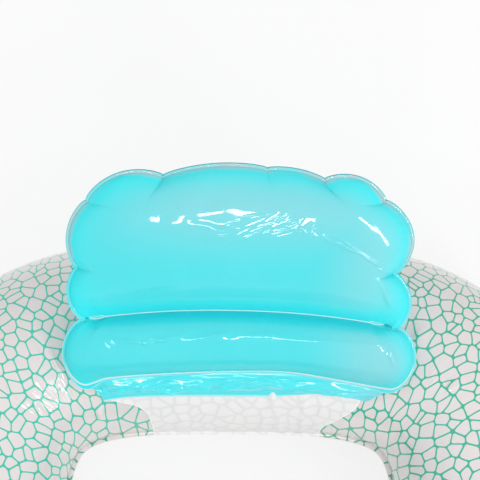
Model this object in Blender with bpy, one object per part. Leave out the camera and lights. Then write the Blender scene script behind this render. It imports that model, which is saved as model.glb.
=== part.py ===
"""Inflatable swim ring with a scalloped backrest.

Metres, +Z up. The floor is z = 0, the origin lies under the middle of the ring,
and the backrest leans on the ring at +Y. Two annular films make the ring's tube,
two scalloped films make the backrest's chamber, and a hinge flap and an anchor
panel tie the backrest to the ring's inner seam. Each chamber has a push-in valve.
"""
import math
import bpy
import bmesh
from mathutils import Matrix, Vector

# Films and welds
FILM = 0.0004
FILM_GAP = 0.0003
SEAM_WIDTH = 0.005
RIM_WIDTH = 0.004

# Ring: centreline in plan, and its tube
TUBE_RADIUS = 0.130
RING_HALF_WIDTH = 0.350
RING_BACK_DEPTH = 0.325
RING_FRONT_DEPTH = 0.332
BACK_SQUARENESS = 3.35
FRONT_SQUARENESS = 2.2
FLOOR_FLAT_WIDTH = 0.024
RING_STATIONS = 60
ARC_STEPS = 8

# Anchor panel: a tab that rises from the inner seam to the flap
PANEL_SEAM_LEFT = -0.103
PANEL_SEAM_RIGHT = 0.117
PANEL_TOP_LEFT = -0.163
PANEL_TOP_RIGHT = 0.168
PANEL_TOP_HEIGHT = 0.099
PANEL_LEFT_FLARE = 3.5
PANEL_RIGHT_FLARE = 1.3
PANEL_LIFT = 0.0006
PANEL_COLUMNS = 18
PANEL_ROWS = 7

# Hinge flap: its welded foot lies on the panel, and its head is in the backrest's rim
FLAP_FOOT_HEIGHT = 0.0876
FLAP_FOOT_DEPTH = 0.008
FLAP_CLEARANCE = 0.0009
FLAP_STRAIGHT_LEAD = 0.0016
FLAP_RUN = 0.0433
FLAP_LEAN_DEG = 64.1
FLAP_COLUMNS = 20

# Backrest: width between its notches, height of its shell, its lean, and how its ends bow forward
BACKREST_WIDTH = 0.400
BACKREST_HEIGHT = 0.280
RECLINE_DEG = 45.0
END_BOW = 0.018
END_BOW_FADE = 0.45
BOW_SPAN_SHARE = 0.5875
BOW_POWER = 2.5
SHELL_HALF_DEPTH = 0.034
SHELL_CROWN_POWER = 2.6
SHELL_CROWN_ROUNDNESS = 0.72
SHELL_END_POWER = 5
BOLSTER_HALF_DEPTH = 0.034
BOLSTER_CROWN_POWER = 2
BOLSTER_CROWN_ROUNDNESS = 0.72
BOLSTER_END_POWER = 8
END_ROUNDNESS = 0.6

# Flap's ends at its foot and head, as shares of the backrest's width
FLAP_FOOT_ENDS = (-0.420, 0.450)
FLAP_HEAD_ENDS = (-0.4525, 0.4925)

# Outline of the backrest's weld in shares of its width and height, left to right over the top,
# and how far each lobe swells out between its notches, in shares of the width
SHELL_NOTCHES = [
    (-0.4575, 0.279), (-0.470, 0.539), (-0.4375, 0.854), (-0.210, 0.961), (0.105, 1.000),
    (0.280, 0.950), (0.460, 0.864), (0.4925, 0.521), (0.515, 0.254),
]
LOBE_SWELLS = [0.040, 0.045, 0.0525, 0.028, 0.017, 0.045, 0.0725, 0.04625]
LOBE_ROUNDNESS = 0.65
LEFT_STEPS = [4, 4, 4]
TOP_STEPS = [5, 8, 5, 5]
RIGHT_STEPS = [4, 4, 4]
CORNER_CROWDING = 1.5
LOWER_WELD = [
    (-0.460, -0.057), (-0.400, -0.029), (-0.225, -0.014), (0.025, 0.000),
    (0.175, 0.000), (0.350, -0.036), (0.500, -0.064),
]
QUILT_WELD_ARCH = 0.013
QUILT_WELD_WIDTH = 0.005
BOLSTER_END_SWELL = 0.026
BOLSTER_END_ROUNDNESS = 0.5
BOLSTER_ROWS = 6
PASSAGE_HALF_DEPTH = 0.006
CREASE_LOSS = 0.42
CREASE_SPAN_SHARE = 0.10

# Push-in valves: seat in the film, sliding stem, check flap and tethered plug
WELL_RADIUS = 0.0100
WELL_WALL = 0.0010
WELL_DEPTH = 0.0140
SEAT_FLANGE_RADIUS = 0.0170
SEAT_FLANGE_THICKNESS = 0.0008
STEM_RADIUS = 0.0055
STEM_BORE_RADIUS = 0.0037
STEM_HEIGHT = 0.0110
STEM_LIP_RADIUS = 0.0065
STEM_LIP_HEIGHT = 0.0016
STEM_TAIL = 0.0022
STEM_TRAVEL = 0.0110
PLUG_CAP_RADIUS = 0.0068
PLUG_CAP_THICKNESS = 0.0016
PLUG_SPIGOT_LENGTH = 0.0050
PLUG_WALL = 0.0010
STRAP_WIDTH = 0.0044
STRAP_THICKNESS = 0.0010
STRAP_INNER_BEND = 0.0004
STRAP_ROOT = 0.0009
STRAP_STEP = 0.0001
STRAP_REACH = 0.0090
EYELET_RADIUS = 0.0074
EYELET_THICKNESS = 0.0012
EYELET_HEIGHT = 0.0016
CHECK_THICKNESS = 0.0008
CHECK_MARGIN = 0.0010
CHECK_TAB_WIDTH = 0.0036
CHECK_TAB_OVERLAP = 0.0006
CUTTER_REACH = 0.0040
RUNNING_GAP = 0.0003
TURN_STEPS = 24
RING_VALVE_STEPS = 2
BACKREST_VALVE_SHARES = (0.200, 0.643)
VALVE_FLAT_LEVEL = 0.97
VALVE_FLAT_RADIUS = 0.034
VALVE_FLAT_BLEND = 0.022

TURQUOISE = (0.13, 0.79, 0.85, 1.0)
PRINTED_WHITE = (0.75, 0.72, 0.72, 1.0)
FROSTED_WHITE = (0.80, 0.80, 0.80, 1.0)
VALVE_WHITE = (0.82, 0.86, 0.86, 1.0)


def clear_scene():
    for item in list(bpy.data.objects):
        bpy.data.objects.remove(item, do_unlink=True)


def vinyl(name, colour, roughness):
    material = bpy.data.materials.new(name)
    material.use_nodes = True
    shader = material.node_tree.nodes["Principled BSDF"]
    shader.inputs["Base Color"].default_value = colour
    shader.inputs["Roughness"].default_value = roughness
    shader.inputs["Metallic"].default_value = 0.0
    return material


def joint_empty(name, place, parent=None):
    empty = bpy.data.objects.new(name, None)
    bpy.context.scene.collection.objects.link(empty)
    empty.empty_display_size = 0.02
    if parent is not None:
        empty.parent = parent
        empty.location = Vector(place) - world_place(parent)
    else:
        empty.location = Vector(place)
    return empty


def world_place(empty):
    place = Vector(empty.location)
    while empty.parent is not None:
        empty = empty.parent
        place += Vector(empty.location)
    return place


def add_piece(name, bm, material, parent, smooth_angle=40.0):
    """Makes an object whose origin is its parent empty, from a mesh in world places."""
    bmesh.ops.translate(bm, verts=bm.verts, vec=-world_place(parent))
    mesh = bpy.data.meshes.new(name)
    bm.to_mesh(mesh)
    bm.free()
    mesh.materials.append(material)
    mesh.shade_smooth()
    mesh.set_sharp_from_angle(angle=math.radians(smooth_angle))
    piece = bpy.data.objects.new(name, mesh)
    bpy.context.scene.collection.objects.link(piece)
    piece.parent = parent
    return piece


def add_film(name, bm, material, parent):
    """The mesh is the film's outer face, and the thickness goes to its inner side."""
    film = add_piece(name, bm, material, parent)
    solidify = film.modifiers.new("film", "SOLIDIFY")
    solidify.thickness = FILM
    solidify.offset = -1.0
    solidify.use_even_offset = True
    solidify.use_rim = True
    return film


def add_cut(piece, cutter, operation="DIFFERENCE"):
    cut = piece.modifiers.new(operation.lower(), "BOOLEAN")
    cut.operation = operation
    cut.solver = "EXACT"
    cut.object = cutter
    cutter.hide_render = True
    cutter.display_type = "WIRE"


def sheet_mesh(rows, closed=False, flip=False):
    """Quads between rows of points. closed joins the last row to the first."""
    bm = bmesh.new()
    verts = [[bm.verts.new(point) for point in row] for row in rows]
    last = len(rows) if closed else len(rows) - 1
    for i in range(last):
        here, following = verts[i], verts[(i + 1) % len(rows)]
        for j in range(len(here) - 1):
            corners = [here[j], following[j], following[j + 1], here[j + 1]]
            bm.faces.new(corners[::-1] if flip else corners)
    return bm


# The ring's centreline
def plan_point(turn):
    """Point of the centreline at an angle from +X: flatter at the back than in front."""
    side, along = math.cos(turn), math.sin(turn)
    depth = RING_BACK_DEPTH if along >= 0 else RING_FRONT_DEPTH
    power = BACK_SQUARENESS if along >= 0 else FRONT_SQUARENESS
    size = (abs(side / RING_HALF_WIDTH) ** power + abs(along / depth) ** power) ** (-1 / power)
    return Vector((side * size, along * size, 0.0))


def plan_outward(turn, step=1e-4):
    tangent = plan_point(turn + step) - plan_point(turn - step)
    return Vector((tangent.y, -tangent.x, 0.0)).normalized()


def even_turns(count):
    """Angles of stations at even distances along the centreline, mirrored about x = 0."""
    fine = 2400
    turns = [-math.pi / 2 + 2 * math.pi * k / fine for k in range(fine + 1)]
    reach = [0.0]
    for a, b in zip(turns, turns[1:]):
        reach.append(reach[-1] + (plan_point(b) - plan_point(a)).length)
    result, k = [], 0
    for station in range(count):
        goal = reach[-1] * (station + 0.5) / count
        while reach[k + 1] < goal:
            k += 1
        part = (goal - reach[k]) / (reach[k + 1] - reach[k])
        result.append(turns[k] + part * (turns[k + 1] - turns[k]))
    return result


def tube_point(turn, rise, radius=TUBE_RADIUS):
    """rise runs from 0 at the inner seam over the crown to 180 degrees at the outer seam."""
    rise = math.radians(rise)
    place = plan_point(turn) - plan_outward(turn) * (radius * math.cos(rise))
    return Vector((place.x, place.y, TUBE_RADIUS + radius * math.sin(rise)))


def turn_at(sideways, rise, radius):
    """The station on the ring's back whose tube point lies at a given x."""
    low, high = math.radians(8), math.radians(172)
    for _ in range(50):
        middle = (low + high) / 2
        if tube_point(middle, rise, radius).x > sideways:
            low = middle
        else:
            high = middle
    return (low + high) / 2


CENTRELINE = [
    plan_point(math.radians(k)) + Vector((0, 0, TUBE_RADIUS)) for k in range(-20, 201)
]


def height_over_ring(point):
    """Distance from a point to the back of the ring's nominal surface."""
    nearest = min(range(len(CENTRELINE)), key=lambda k: (CENTRELINE[k] - point).length_squared)
    best = (CENTRELINE[nearest] - point).length
    for k in (nearest - 1, nearest):
        if 0 <= k < len(CENTRELINE) - 1:
            a, b = CENTRELINE[k], CENTRELINE[k + 1]
            part = max(0.0, min(1.0, (point - a).dot(b - a) / (b - a).length_squared))
            best = min(best, (a.lerp(b, part) - point).length)
    return best - TUBE_RADIUS


# The ring's two films
def half_tube_section(turn, upper):
    """One film's outer face: outer seam flange, half circle, inner seam flange."""
    centre, outward = plan_point(turn), plan_outward(turn)
    seam_z = FILM_GAP / 2 + FILM
    points = [(TUBE_RADIUS + SEAM_WIDTH, seam_z), (TUBE_RADIUS, seam_z)]
    if upper:
        angles = [180.0 * k / ARC_STEPS for k in range(1, ARC_STEPS)]
    else:
        flat = math.degrees(math.asin(FLOOR_FLAT_WIDTH / 2 / TUBE_RADIUS))
        half = ARC_STEPS // 2
        side = [(90.0 - flat) * k / half for k in range(1, half + 1)]
        angles = side + [180.0 - angle for angle in reversed(side)]
    for angle in angles:
        out = TUBE_RADIUS * math.cos(math.radians(angle))
        rise = TUBE_RADIUS * math.sin(math.radians(angle))
        if not upper and abs(out) < FLOOR_FLAT_WIDTH / 2 + 1e-6:
            rise = TUBE_RADIUS
        points.append((out, rise))
    points += [(-TUBE_RADIUS, seam_z), (-TUBE_RADIUS - SEAM_WIDTH, seam_z)]
    up = 1.0 if upper else -1.0
    return [
        centre + outward * out + Vector((0, 0, TUBE_RADIUS + up * rise)) for out, rise in points
    ]


def ring_film(name, upper, material, parent):
    rows = [half_tube_section(turn, upper) for turn in even_turns(RING_STATIONS)]
    return add_film(name, sheet_mesh(rows, closed=True, flip=not upper), material, parent)


# The anchor panel, welded into the inner seam
def panel_row(part, radius):
    rise = math.degrees(PANEL_TOP_HEIGHT * part / TUBE_RADIUS)
    left = PANEL_SEAM_LEFT + (PANEL_TOP_LEFT - PANEL_SEAM_LEFT) * part**PANEL_LEFT_FLARE
    right = PANEL_SEAM_RIGHT + (PANEL_TOP_RIGHT - PANEL_SEAM_RIGHT) * part**PANEL_RIGHT_FLARE
    row = []
    for k in range(PANEL_COLUMNS + 1):
        sideways = left + (right - left) * k / PANEL_COLUMNS
        row.append(tube_point(turn_at(sideways, rise, radius), rise, radius))
    return row


def anchor_panel(material, parent):
    radius = TUBE_RADIUS + PANEL_LIFT + FILM
    seam_z = TUBE_RADIUS + FILM_GAP / 2 + FILM + PANEL_LIFT + FILM
    rows = [panel_row(k / PANEL_ROWS, radius) for k in range(PANEL_ROWS + 1)]
    foot = []
    for point in rows[0]:
        point.z = seam_z
        turn = turn_at(point.x, 0.0, radius)
        foot.append(point - plan_outward(turn) * (SEAM_WIDTH - PANEL_LIFT - FILM))
    return add_film("anchor_panel", sheet_mesh([foot] + rows), material, parent)


# The backrest's frame of reference
LEAN = math.radians(RECLINE_DEG)
UP_LEAN = Vector((0, math.cos(LEAN), math.sin(LEAN)))
FACING = Vector((0, -math.sin(LEAN), math.cos(LEAN)))


def hinge_place():
    """The flap's knee at the middle, where the backrest folds."""
    rise = math.degrees((FLAP_FOOT_HEIGHT + FLAP_FOOT_DEPTH) / TUBE_RADIUS)
    return tube_point(math.pi / 2, rise, TUBE_RADIUS + PANEL_LIFT + 2 * FILM + FLAP_CLEARANCE)


FLAP_LEAN = math.radians(FLAP_LEAN_DEG)
BACKREST_FOOT = hinge_place() + Vector((0, math.cos(FLAP_LEAN), math.sin(FLAP_LEAN))) * FLAP_RUN


def outline_place(shares):
    return (shares[0] * BACKREST_WIDTH, shares[1] * BACKREST_HEIGHT)


def end_bow(sideways, up):
    fade = 1 - END_BOW_FADE * max(0.0, min(1.0, up / BACKREST_HEIGHT))
    return END_BOW * (abs(sideways) / (BOW_SPAN_SHARE * BACKREST_WIDTH)) ** BOW_POWER * fade


def lean_place(sideways, up, out):
    """A point of the backrest: sideways, up the lean, and out towards the sitter."""
    bowed = out + end_bow(sideways, up)
    return BACKREST_FOOT + Vector((sideways, 0, 0)) + UP_LEAN * up + FACING * bowed


def smooth_path(points, part):
    """Catmull-Rom curve through a few points, by even share of its length in x."""
    goal = points[0][0] + (points[-1][0] - points[0][0]) * part
    k = 0
    while k < len(points) - 2 and points[k + 1][0] < goal:
        k += 1
    t = (goal - points[k][0]) / (points[k + 1][0] - points[k][0])
    before = points[max(k - 1, 0)][1]
    a, b = points[k][1], points[k + 1][1]
    after = points[min(k + 2, len(points) - 1)][1]
    slope_a, slope_b = (b - before) / 2, (after - a) / 2
    value = a * (2 * t**3 - 3 * t**2 + 1) + b * (3 * t**2 - 2 * t**3)
    value += slope_a * (t**3 - 2 * t**2 + t) + slope_b * (t**3 - t**2)
    return (goal, value)


def lower_weld(share):
    return smooth_path([outline_place(point) for point in LOWER_WELD], share)


def swollen_arc(start, end, swell, roundness, shares):
    """Points of a lobe between two notches, swelling to the left of its direction."""
    across = (-(end[1] - start[1]), end[0] - start[0])
    length = math.hypot(*across)
    result = []
    for share in shares:
        lift = swell * math.sin(math.pi * share) ** roundness / length
        result.append((
            start[0] + (end[0] - start[0]) * share + across[0] * lift,
            start[1] + (end[1] - start[1]) * share + across[1] * lift,
        ))
    return result


def lobe_run(first, steps, starts_halfway, ends_halfway):
    """The outline over several lobes, with each point's place in its own lobe.

    A run that starts or ends halfway over a lobe is a corner of the shell's grid,
    and its points are closer together there.
    """
    points, phases = [], []
    for number, count in enumerate(steps):
        begin = 0.5 if starts_halfway and number == 0 else 0.0
        finish = 0.5 if ends_halfway and number == len(steps) - 1 else 1.0
        even = [k / count for k in range(count + 1)]
        if begin > 0:
            even = [share**CORNER_CROWDING for share in even]
        if finish < 1:
            even = [1 - (1 - share) ** CORNER_CROWDING for share in even]
        shares = [begin + (finish - begin) * share for share in even]
        lobe = first + number
        start, end = outline_place(SHELL_NOTCHES[lobe]), outline_place(SHELL_NOTCHES[lobe + 1])
        swell = LOBE_SWELLS[lobe] * BACKREST_WIDTH
        arc = swollen_arc(start, end, swell, LOBE_ROUNDNESS, shares)
        skip = 1 if points else 0
        points += arc[skip:]
        phases += shares[skip:]
    return points, phases


def column_shares():
    """Share of the width at each column, from the outline over the top."""
    top, _ = lobe_run(2, TOP_STEPS, True, True)
    left, right = top[0][0], top[-1][0]
    return [(point[0] - left) / (right - left) for point in top]


def quilt_weld(share, edge):
    """The weld between shell and bolster, and half its width up (1) or down (-1)."""
    left, right = outline_place(SHELL_NOTCHES[0]), outline_place(SHELL_NOTCHES[-1])
    sideways = left[0] + (right[0] - left[0]) * share
    ends = left[1] + (right[1] - left[1]) * share
    arch = 4 * share * (1 - share)
    up = ends + QUILT_WELD_ARCH * arch + edge * QUILT_WELD_WIDTH / 2
    return (sideways, up)


def coons(bottom, top, left, right, column, row, u, v):
    """Point of a patch between four edges that meet at its corners."""
    result = []
    for axis in (0, 1):
        across = (1 - v) * bottom[column][axis] + v * top[column][axis]
        along = (1 - u) * left[row][axis] + u * right[row][axis]
        corners = (1 - u) * ((1 - v) * bottom[0][axis] + v * top[0][axis])
        corners += u * ((1 - v) * bottom[-1][axis] + v * top[-1][axis])
        result.append(across + along - corners)
    return tuple(result)


def crease(phase, closeness):
    """Share of the height that is left beside a notch in the outline."""
    open_share = math.sin(math.pi * phase) ** 0.5
    return 1 - CREASE_LOSS * (1 - open_share) * math.exp(-((closeness / CREASE_SPAN_SHARE) ** 2))


def bolster_rows(shares):
    bottom = [lower_weld(share) for share in shares]
    top = [quilt_weld(share, -1) for share in shares]
    steps = [k / BOLSTER_ROWS for k in range(BOLSTER_ROWS + 1)]
    left = swollen_arc(bottom[0], top[0], BOLSTER_END_SWELL, BOLSTER_END_ROUNDNESS, steps)
    right = swollen_arc(top[-1], bottom[-1], BOLSTER_END_SWELL, BOLSTER_END_ROUNDNESS, steps)
    right = right[::-1]
    rows = []
    for row, v in enumerate(steps):
        crown = max(0.0, 1 - abs(2 * v - 1) ** BOLSTER_CROWN_POWER) ** BOLSTER_CROWN_ROUNDNESS
        line = []
        for column, u in enumerate(shares):
            sideways, up = coons(bottom, top, left, right, column, row, u, v)
            ends = max(0.0, 1 - abs(2 * u - 1) ** BOLSTER_END_POWER) ** END_ROUNDNESS
            line.append((sideways, up, BOLSTER_HALF_DEPTH * crown * ends))
        rows.append(line)
    return rows


def shell_rows(shares):
    bottom = [quilt_weld(share, 1) for share in shares]
    top, top_phase = lobe_run(2, TOP_STEPS, True, True)
    left, left_phase = lobe_run(0, LEFT_STEPS, False, True)
    right, right_phase = lobe_run(5, RIGHT_STEPS, True, False)
    right, right_phase = right[::-1], right_phase[::-1]
    left[0], right[0] = bottom[0], bottom[-1]
    rows = []
    for row in range(len(left)):
        v = row / (len(left) - 1)
        line = []
        for column, u in enumerate(shares):
            sideways, up = coons(bottom, top, left, right, column, row, u, v)
            across = max(0.0, 1 - abs(2 * v - 1) ** SHELL_CROWN_POWER) ** SHELL_CROWN_ROUNDNESS
            ends = max(0.0, 1 - abs(2 * u - 1) ** SHELL_END_POWER) ** END_ROUNDNESS
            depth = SHELL_HALF_DEPTH * across * ends
            depth *= crease(top_phase[column], 1 - v)
            depth *= crease(left_phase[row], u) * crease(right_phase[row], 1 - u)
            line.append((sideways, up, depth))
        rows.append(line)
    return rows


def backrest_grid():
    """Rows of (sideways, up, half depth), from the lower weld to the top."""
    shares = column_shares()
    rows = bolster_rows(shares) + shell_rows(shares)
    lower_edge, upper_edge = rows[BOLSTER_ROWS], rows[BOLSTER_ROWS + 1]
    for line in (lower_edge, upper_edge):
        for column in (1, -2):
            line[column] = (line[column][0], line[column][1], PASSAGE_HALF_DEPTH)
    return rows


def rim_loop(rows):
    """Grid places round the outline, anticlockwise seen from the sitter's side."""
    last_row, last_column = len(rows) - 1, len(rows[0]) - 1
    loop = [(0, column) for column in range(last_column + 1)]
    loop += [(row, last_column) for row in range(1, last_row + 1)]
    loop += [(last_row, column) for column in range(last_column - 1, -1, -1)]
    loop += [(row, 0) for row in range(last_row - 1, 0, -1)]
    return loop


def rim_direction(rows, loop, k):
    """Outward direction of the rim at one place, in the plane of the outline."""
    before, here, after = (rows[r][c] for r, c in (loop[k - 1], loop[k], loop[(k + 1) % len(loop)]))
    result = Vector((0, 0))
    for a, b in ((before, here), (here, after)):
        edge = Vector((b[0] - a[0], b[1] - a[1]))
        result += Vector((edge.y, -edge.x)).normalized()
    return result.normalized()


def flat_for_valve(sideways, up, out):
    """The back film is flat where its valve is welded in."""
    valve = outline_place(BACKREST_VALVE_SHARES)
    distance = math.hypot(sideways - valve[0], up - valve[1])
    part = max(0.0, min(1.0, (distance - VALVE_FLAT_RADIUS) / VALVE_FLAT_BLEND))
    ease = part * part * (3 - 2 * part)
    level = -SHELL_HALF_DEPTH * VALVE_FLAT_LEVEL - end_bow(sideways, up)
    return level + (out - level) * ease


def backrest_film(name, front, material, parent):
    rows = backrest_grid()
    side = 1.0 if front else -1.0
    rim_out = FILM / 2 + FILM_GAP + FILM
    clearance = FILM_GAP + FILM
    bm = bmesh.new()
    verts = []
    for line in rows:
        placed = []
        for sideways, up, depth in line:
            out = side * (depth + rim_out)
            if not front:
                out = flat_for_valve(sideways, up, out)
            place = lean_place(sideways, up, out)
            for _ in range(12):
                short = clearance - height_over_ring(place)
                if front or short <= 0:
                    break
                place = place + FACING * short
            placed.append(bm.verts.new(place))
        verts.append(placed)
    for i in range(len(verts) - 1):
        for j in range(len(verts[0]) - 1):
            corners = [verts[i][j], verts[i][j + 1], verts[i + 1][j + 1], verts[i + 1][j]]
            bm.faces.new(corners if front else corners[::-1])
    loop = rim_loop(rows)
    rim = []
    for k, (row, column) in enumerate(loop):
        sideways, up, _ = rows[row][column]
        away = rim_direction(rows, loop, k) * RIM_WIDTH
        rim.append(bm.verts.new(lean_place(sideways + away.x, up + away.y, side * rim_out)))
    for k, (row, column) in enumerate(loop):
        next_row, next_column = loop[(k + 1) % len(loop)]
        corners = [verts[row][column], rim[k], rim[(k + 1) % len(loop)], verts[next_row][next_column]]
        bm.faces.new(corners if front else corners[::-1])
    return add_film(name, bm, material, parent)


# The hinge flap
def hinge_flap(material, parent):
    foot_radius = TUBE_RADIUS + PANEL_LIFT + 2 * FILM + FLAP_CLEARANCE
    foot_rise = math.degrees(FLAP_FOOT_HEIGHT / TUBE_RADIUS)
    knee_rise = math.degrees((FLAP_FOOT_HEIGHT + FLAP_FOOT_DEPTH) / TUBE_RADIUS)
    columns = []
    for k in range(FLAP_COLUMNS + 1):
        share = k / FLAP_COLUMNS
        foot_share, head_share = (
            ends[0] + (ends[1] - ends[0]) * share for ends in (FLAP_FOOT_ENDS, FLAP_HEAD_ENDS)
        )
        turn = turn_at(foot_share * BACKREST_WIDTH, foot_rise, foot_radius)
        foot = tube_point(turn, foot_rise, foot_radius)
        knee = tube_point(turn, knee_rise, foot_radius)
        weld_span = LOWER_WELD[-1][0] - LOWER_WELD[0][0]
        sideways, up = lower_weld((head_share - LOWER_WELD[0][0]) / weld_span)
        mouth = lean_place(sideways, up - RIM_WIDTH - FLAP_STRAIGHT_LEAD, FILM / 2)
        head = lean_place(sideways, up - FILM_GAP, FILM / 2)
        columns.append([foot, knee, knee.lerp(mouth, 0.35), knee.lerp(mouth, 0.7), mouth, head])
    return add_film("backrest_flap", sheet_mesh(columns), material, parent)


# Push-in valves
def turned(profile, closed=True):
    """Turns a profile of (radius, height) round Z. An open one starts and ends on the axis."""
    bm = bmesh.new()
    verts = [bm.verts.new((radius, 0, height)) for radius, height in profile]
    edges = [bm.edges.new(pair) for pair in zip(verts, verts[1:])]
    if closed:
        edges.append(bm.edges.new((verts[-1], verts[0])))
    bmesh.ops.spin(
        bm, geom=verts + edges, cent=(0, 0, 0), axis=(0, 0, 1),
        angle=2 * math.pi, steps=TURN_STEPS, use_merge=True,
    )
    bmesh.ops.remove_doubles(bm, verts=bm.verts, dist=1e-6)
    bmesh.ops.recalc_face_normals(bm, faces=bm.faces)
    return bm


def extruded(outline, width):
    """A flat outline in XZ, extruded both ways along Y."""
    bm = bmesh.new()
    face = bm.faces.new([bm.verts.new((x, -width / 2, z)) for x, z in outline])
    grown = bmesh.ops.extrude_face_region(bm, geom=[face])
    moved = [item for item in grown["geom"] if isinstance(item, bmesh.types.BMVert)]
    bmesh.ops.translate(bm, verts=moved, vec=(0, width, 0))
    bmesh.ops.recalc_face_normals(bm, faces=bm.faces)
    return bm


def placed_piece(name, bm, frame, material, parent):
    bmesh.ops.transform(bm, matrix=frame, verts=bm.verts)
    return add_piece(name, bm, material, parent)


def seat_mesh():
    top, under = 0.0, -FILM - FILM_GAP
    wall = WELL_RADIUS + WELL_WALL
    hole = STEM_RADIUS + RUNNING_GAP
    return turned([
        (WELL_RADIUS, top), (wall, top), (wall, under), (SEAT_FLANGE_RADIUS, under),
        (SEAT_FLANGE_RADIUS, under - SEAT_FLANGE_THICKNESS), (wall, under - SEAT_FLANGE_THICKNESS),
        (wall, -WELL_DEPTH), (hole, -WELL_DEPTH), (hole, WELL_WALL - WELL_DEPTH),
        (WELL_RADIUS, WELL_WALL - WELL_DEPTH),
    ][::-1])


def stem_mesh():
    tail_top = -WELL_DEPTH - FILM_GAP
    tail = tail_top - STEM_TAIL
    neck = STEM_HEIGHT - STEM_LIP_HEIGHT
    return turned([
        (STEM_BORE_RADIUS, STEM_HEIGHT), (STEM_LIP_RADIUS, STEM_HEIGHT), (STEM_LIP_RADIUS, neck),
        (STEM_RADIUS, neck), (STEM_RADIUS, tail_top), (STEM_LIP_RADIUS, tail_top),
        (STEM_LIP_RADIUS, tail), (STEM_BORE_RADIUS, tail),
    ][::-1])


def plug_meshes():
    """Cap with its hollow spigot, and the strap with its eyelet round the stem."""
    seat = STEM_HEIGHT + FILM_GAP
    spigot = STEM_BORE_RADIUS - RUNNING_GAP
    hollow = spigot - PLUG_WALL
    cap = turned([
        (0, seat + PLUG_CAP_THICKNESS), (PLUG_CAP_RADIUS, seat + PLUG_CAP_THICKNESS),
        (PLUG_CAP_RADIUS, seat), (spigot, seat), (spigot, seat - PLUG_SPIGOT_LENGTH),
        (hollow, seat - PLUG_SPIGOT_LENGTH), (hollow, seat - PLUG_WALL), (0, seat - PLUG_WALL),
    ][::-1], closed=False)
    inner = STEM_RADIUS + RUNNING_GAP
    eyelet = turned([
        (inner, EYELET_HEIGHT), (EYELET_RADIUS, EYELET_HEIGHT),
        (EYELET_RADIUS, EYELET_HEIGHT + EYELET_THICKNESS), (inner, EYELET_HEIGHT + EYELET_THICKNESS),
    ])
    cap_top = seat + PLUG_CAP_THICKNESS - STRAP_STEP
    low = EYELET_HEIGHT + STRAP_STEP
    bend = STRAP_THICKNESS
    inside, corner = STRAP_REACH - bend, bend + STRAP_INNER_BEND
    root_cap, root_eyelet = PLUG_CAP_RADIUS - STRAP_ROOT, EYELET_RADIUS - STRAP_ROOT
    strap = extruded([
        (root_cap, cap_top), (inside, cap_top), (STRAP_REACH, cap_top - bend),
        (STRAP_REACH, low + bend), (inside, low), (root_eyelet, low),
        (root_eyelet, low + bend), (STRAP_REACH - corner, low + bend),
        (inside, low + corner), (inside, cap_top - corner),
        (STRAP_REACH - corner, cap_top - bend), (root_cap, cap_top - bend),
    ], STRAP_WIDTH)
    return cap, eyelet, strap


def check_meshes():
    """A disc that closes the stem's tail, and the tab that it swings on."""
    top = -WELL_DEPTH - FILM_GAP - STEM_TAIL - FILM_GAP
    radius = STEM_BORE_RADIUS + CHECK_MARGIN
    under = top - CHECK_THICKNESS
    disc = turned([(0, top), (radius, top), (radius, under), (0, under)][::-1], closed=False)
    root = CHECK_TAB_OVERLAP - radius
    tab = extruded([
        (-STEM_LIP_RADIUS, top), (root, top), (root, under), (-STEM_LIP_RADIUS, under),
    ], CHECK_TAB_WIDTH)
    return disc, tab, Vector((-STEM_LIP_RADIUS, 0, top))


def valve_frame(place, axis):
    """Turns a valve's own Z to its axis, with its X as level as it can be."""
    axis = axis.normalized()
    level = Vector((0, 0, 1)).cross(axis)
    level = Vector((1, 0, 0)) if level.length < 1e-6 else level.normalized()
    turn = Matrix((level, axis.cross(level), axis)).transposed().to_4x4()
    return Matrix.Translation(place) @ turn


def push_in_valve(prefix, film, place, axis, material, parent):
    frame = valve_frame(place, axis)
    radius = WELL_RADIUS + WELL_WALL + RUNNING_GAP
    hole = turned([
        (0, CUTTER_REACH), (radius, CUTTER_REACH), (radius, -CUTTER_REACH), (0, -CUTTER_REACH),
    ][::-1], closed=False)
    cutter = placed_piece(prefix + "_hole", hole, frame, material, parent)
    add_cut(film, cutter)
    placed_piece(prefix + "_seat", seat_mesh(), frame, material, parent)

    sunk = frame @ Matrix.Translation((0, 0, -STEM_TRAVEL))
    push = joint_empty(prefix + "_push", place, parent)
    placed_piece(prefix + "_stem", stem_mesh(), sunk, material, push)

    disc, tab, pin = check_meshes()
    swing = joint_empty(prefix + "_check_swing", sunk @ pin, push)
    flap = placed_piece(prefix + "_check_flap", disc, sunk, material, swing)
    add_cut(flap, placed_piece(prefix + "_check_tab", tab, sunk, material, swing), "UNION")

    pull = joint_empty(prefix + "_pull", sunk @ Vector((0, 0, STEM_HEIGHT)), push)
    cap, eyelet, strap = plug_meshes()
    plug = placed_piece(prefix + "_plug", cap, sunk, material, pull)
    add_cut(plug, placed_piece(prefix + "_strap", strap, sunk, material, pull), "UNION")
    add_cut(plug, placed_piece(prefix + "_eyelet", eyelet, sunk, material, pull), "UNION")


def ring_valve_place():
    """Middle and normal of a facet of the upper film, at the front of the ring."""
    rows = [half_tube_section(turn, True) for turn in even_turns(RING_STATIONS)]
    left, right = rows[-1], rows[0]
    low, high = RING_VALVE_STEPS, RING_VALVE_STEPS + 1
    corners = [left[low], right[low], right[high], left[high]]
    middle = sum(corners, Vector()) / 4
    normal = (corners[2] - corners[0]).cross(corners[3] - corners[1]).normalized()
    if normal.z < 0:
        normal = -normal
    return middle, normal


def backrest_valve_place():
    sideways, up = outline_place(BACKREST_VALVE_SHARES)
    return lean_place(sideways, up, flat_for_valve(sideways, up, 0.0)), -FACING


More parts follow.
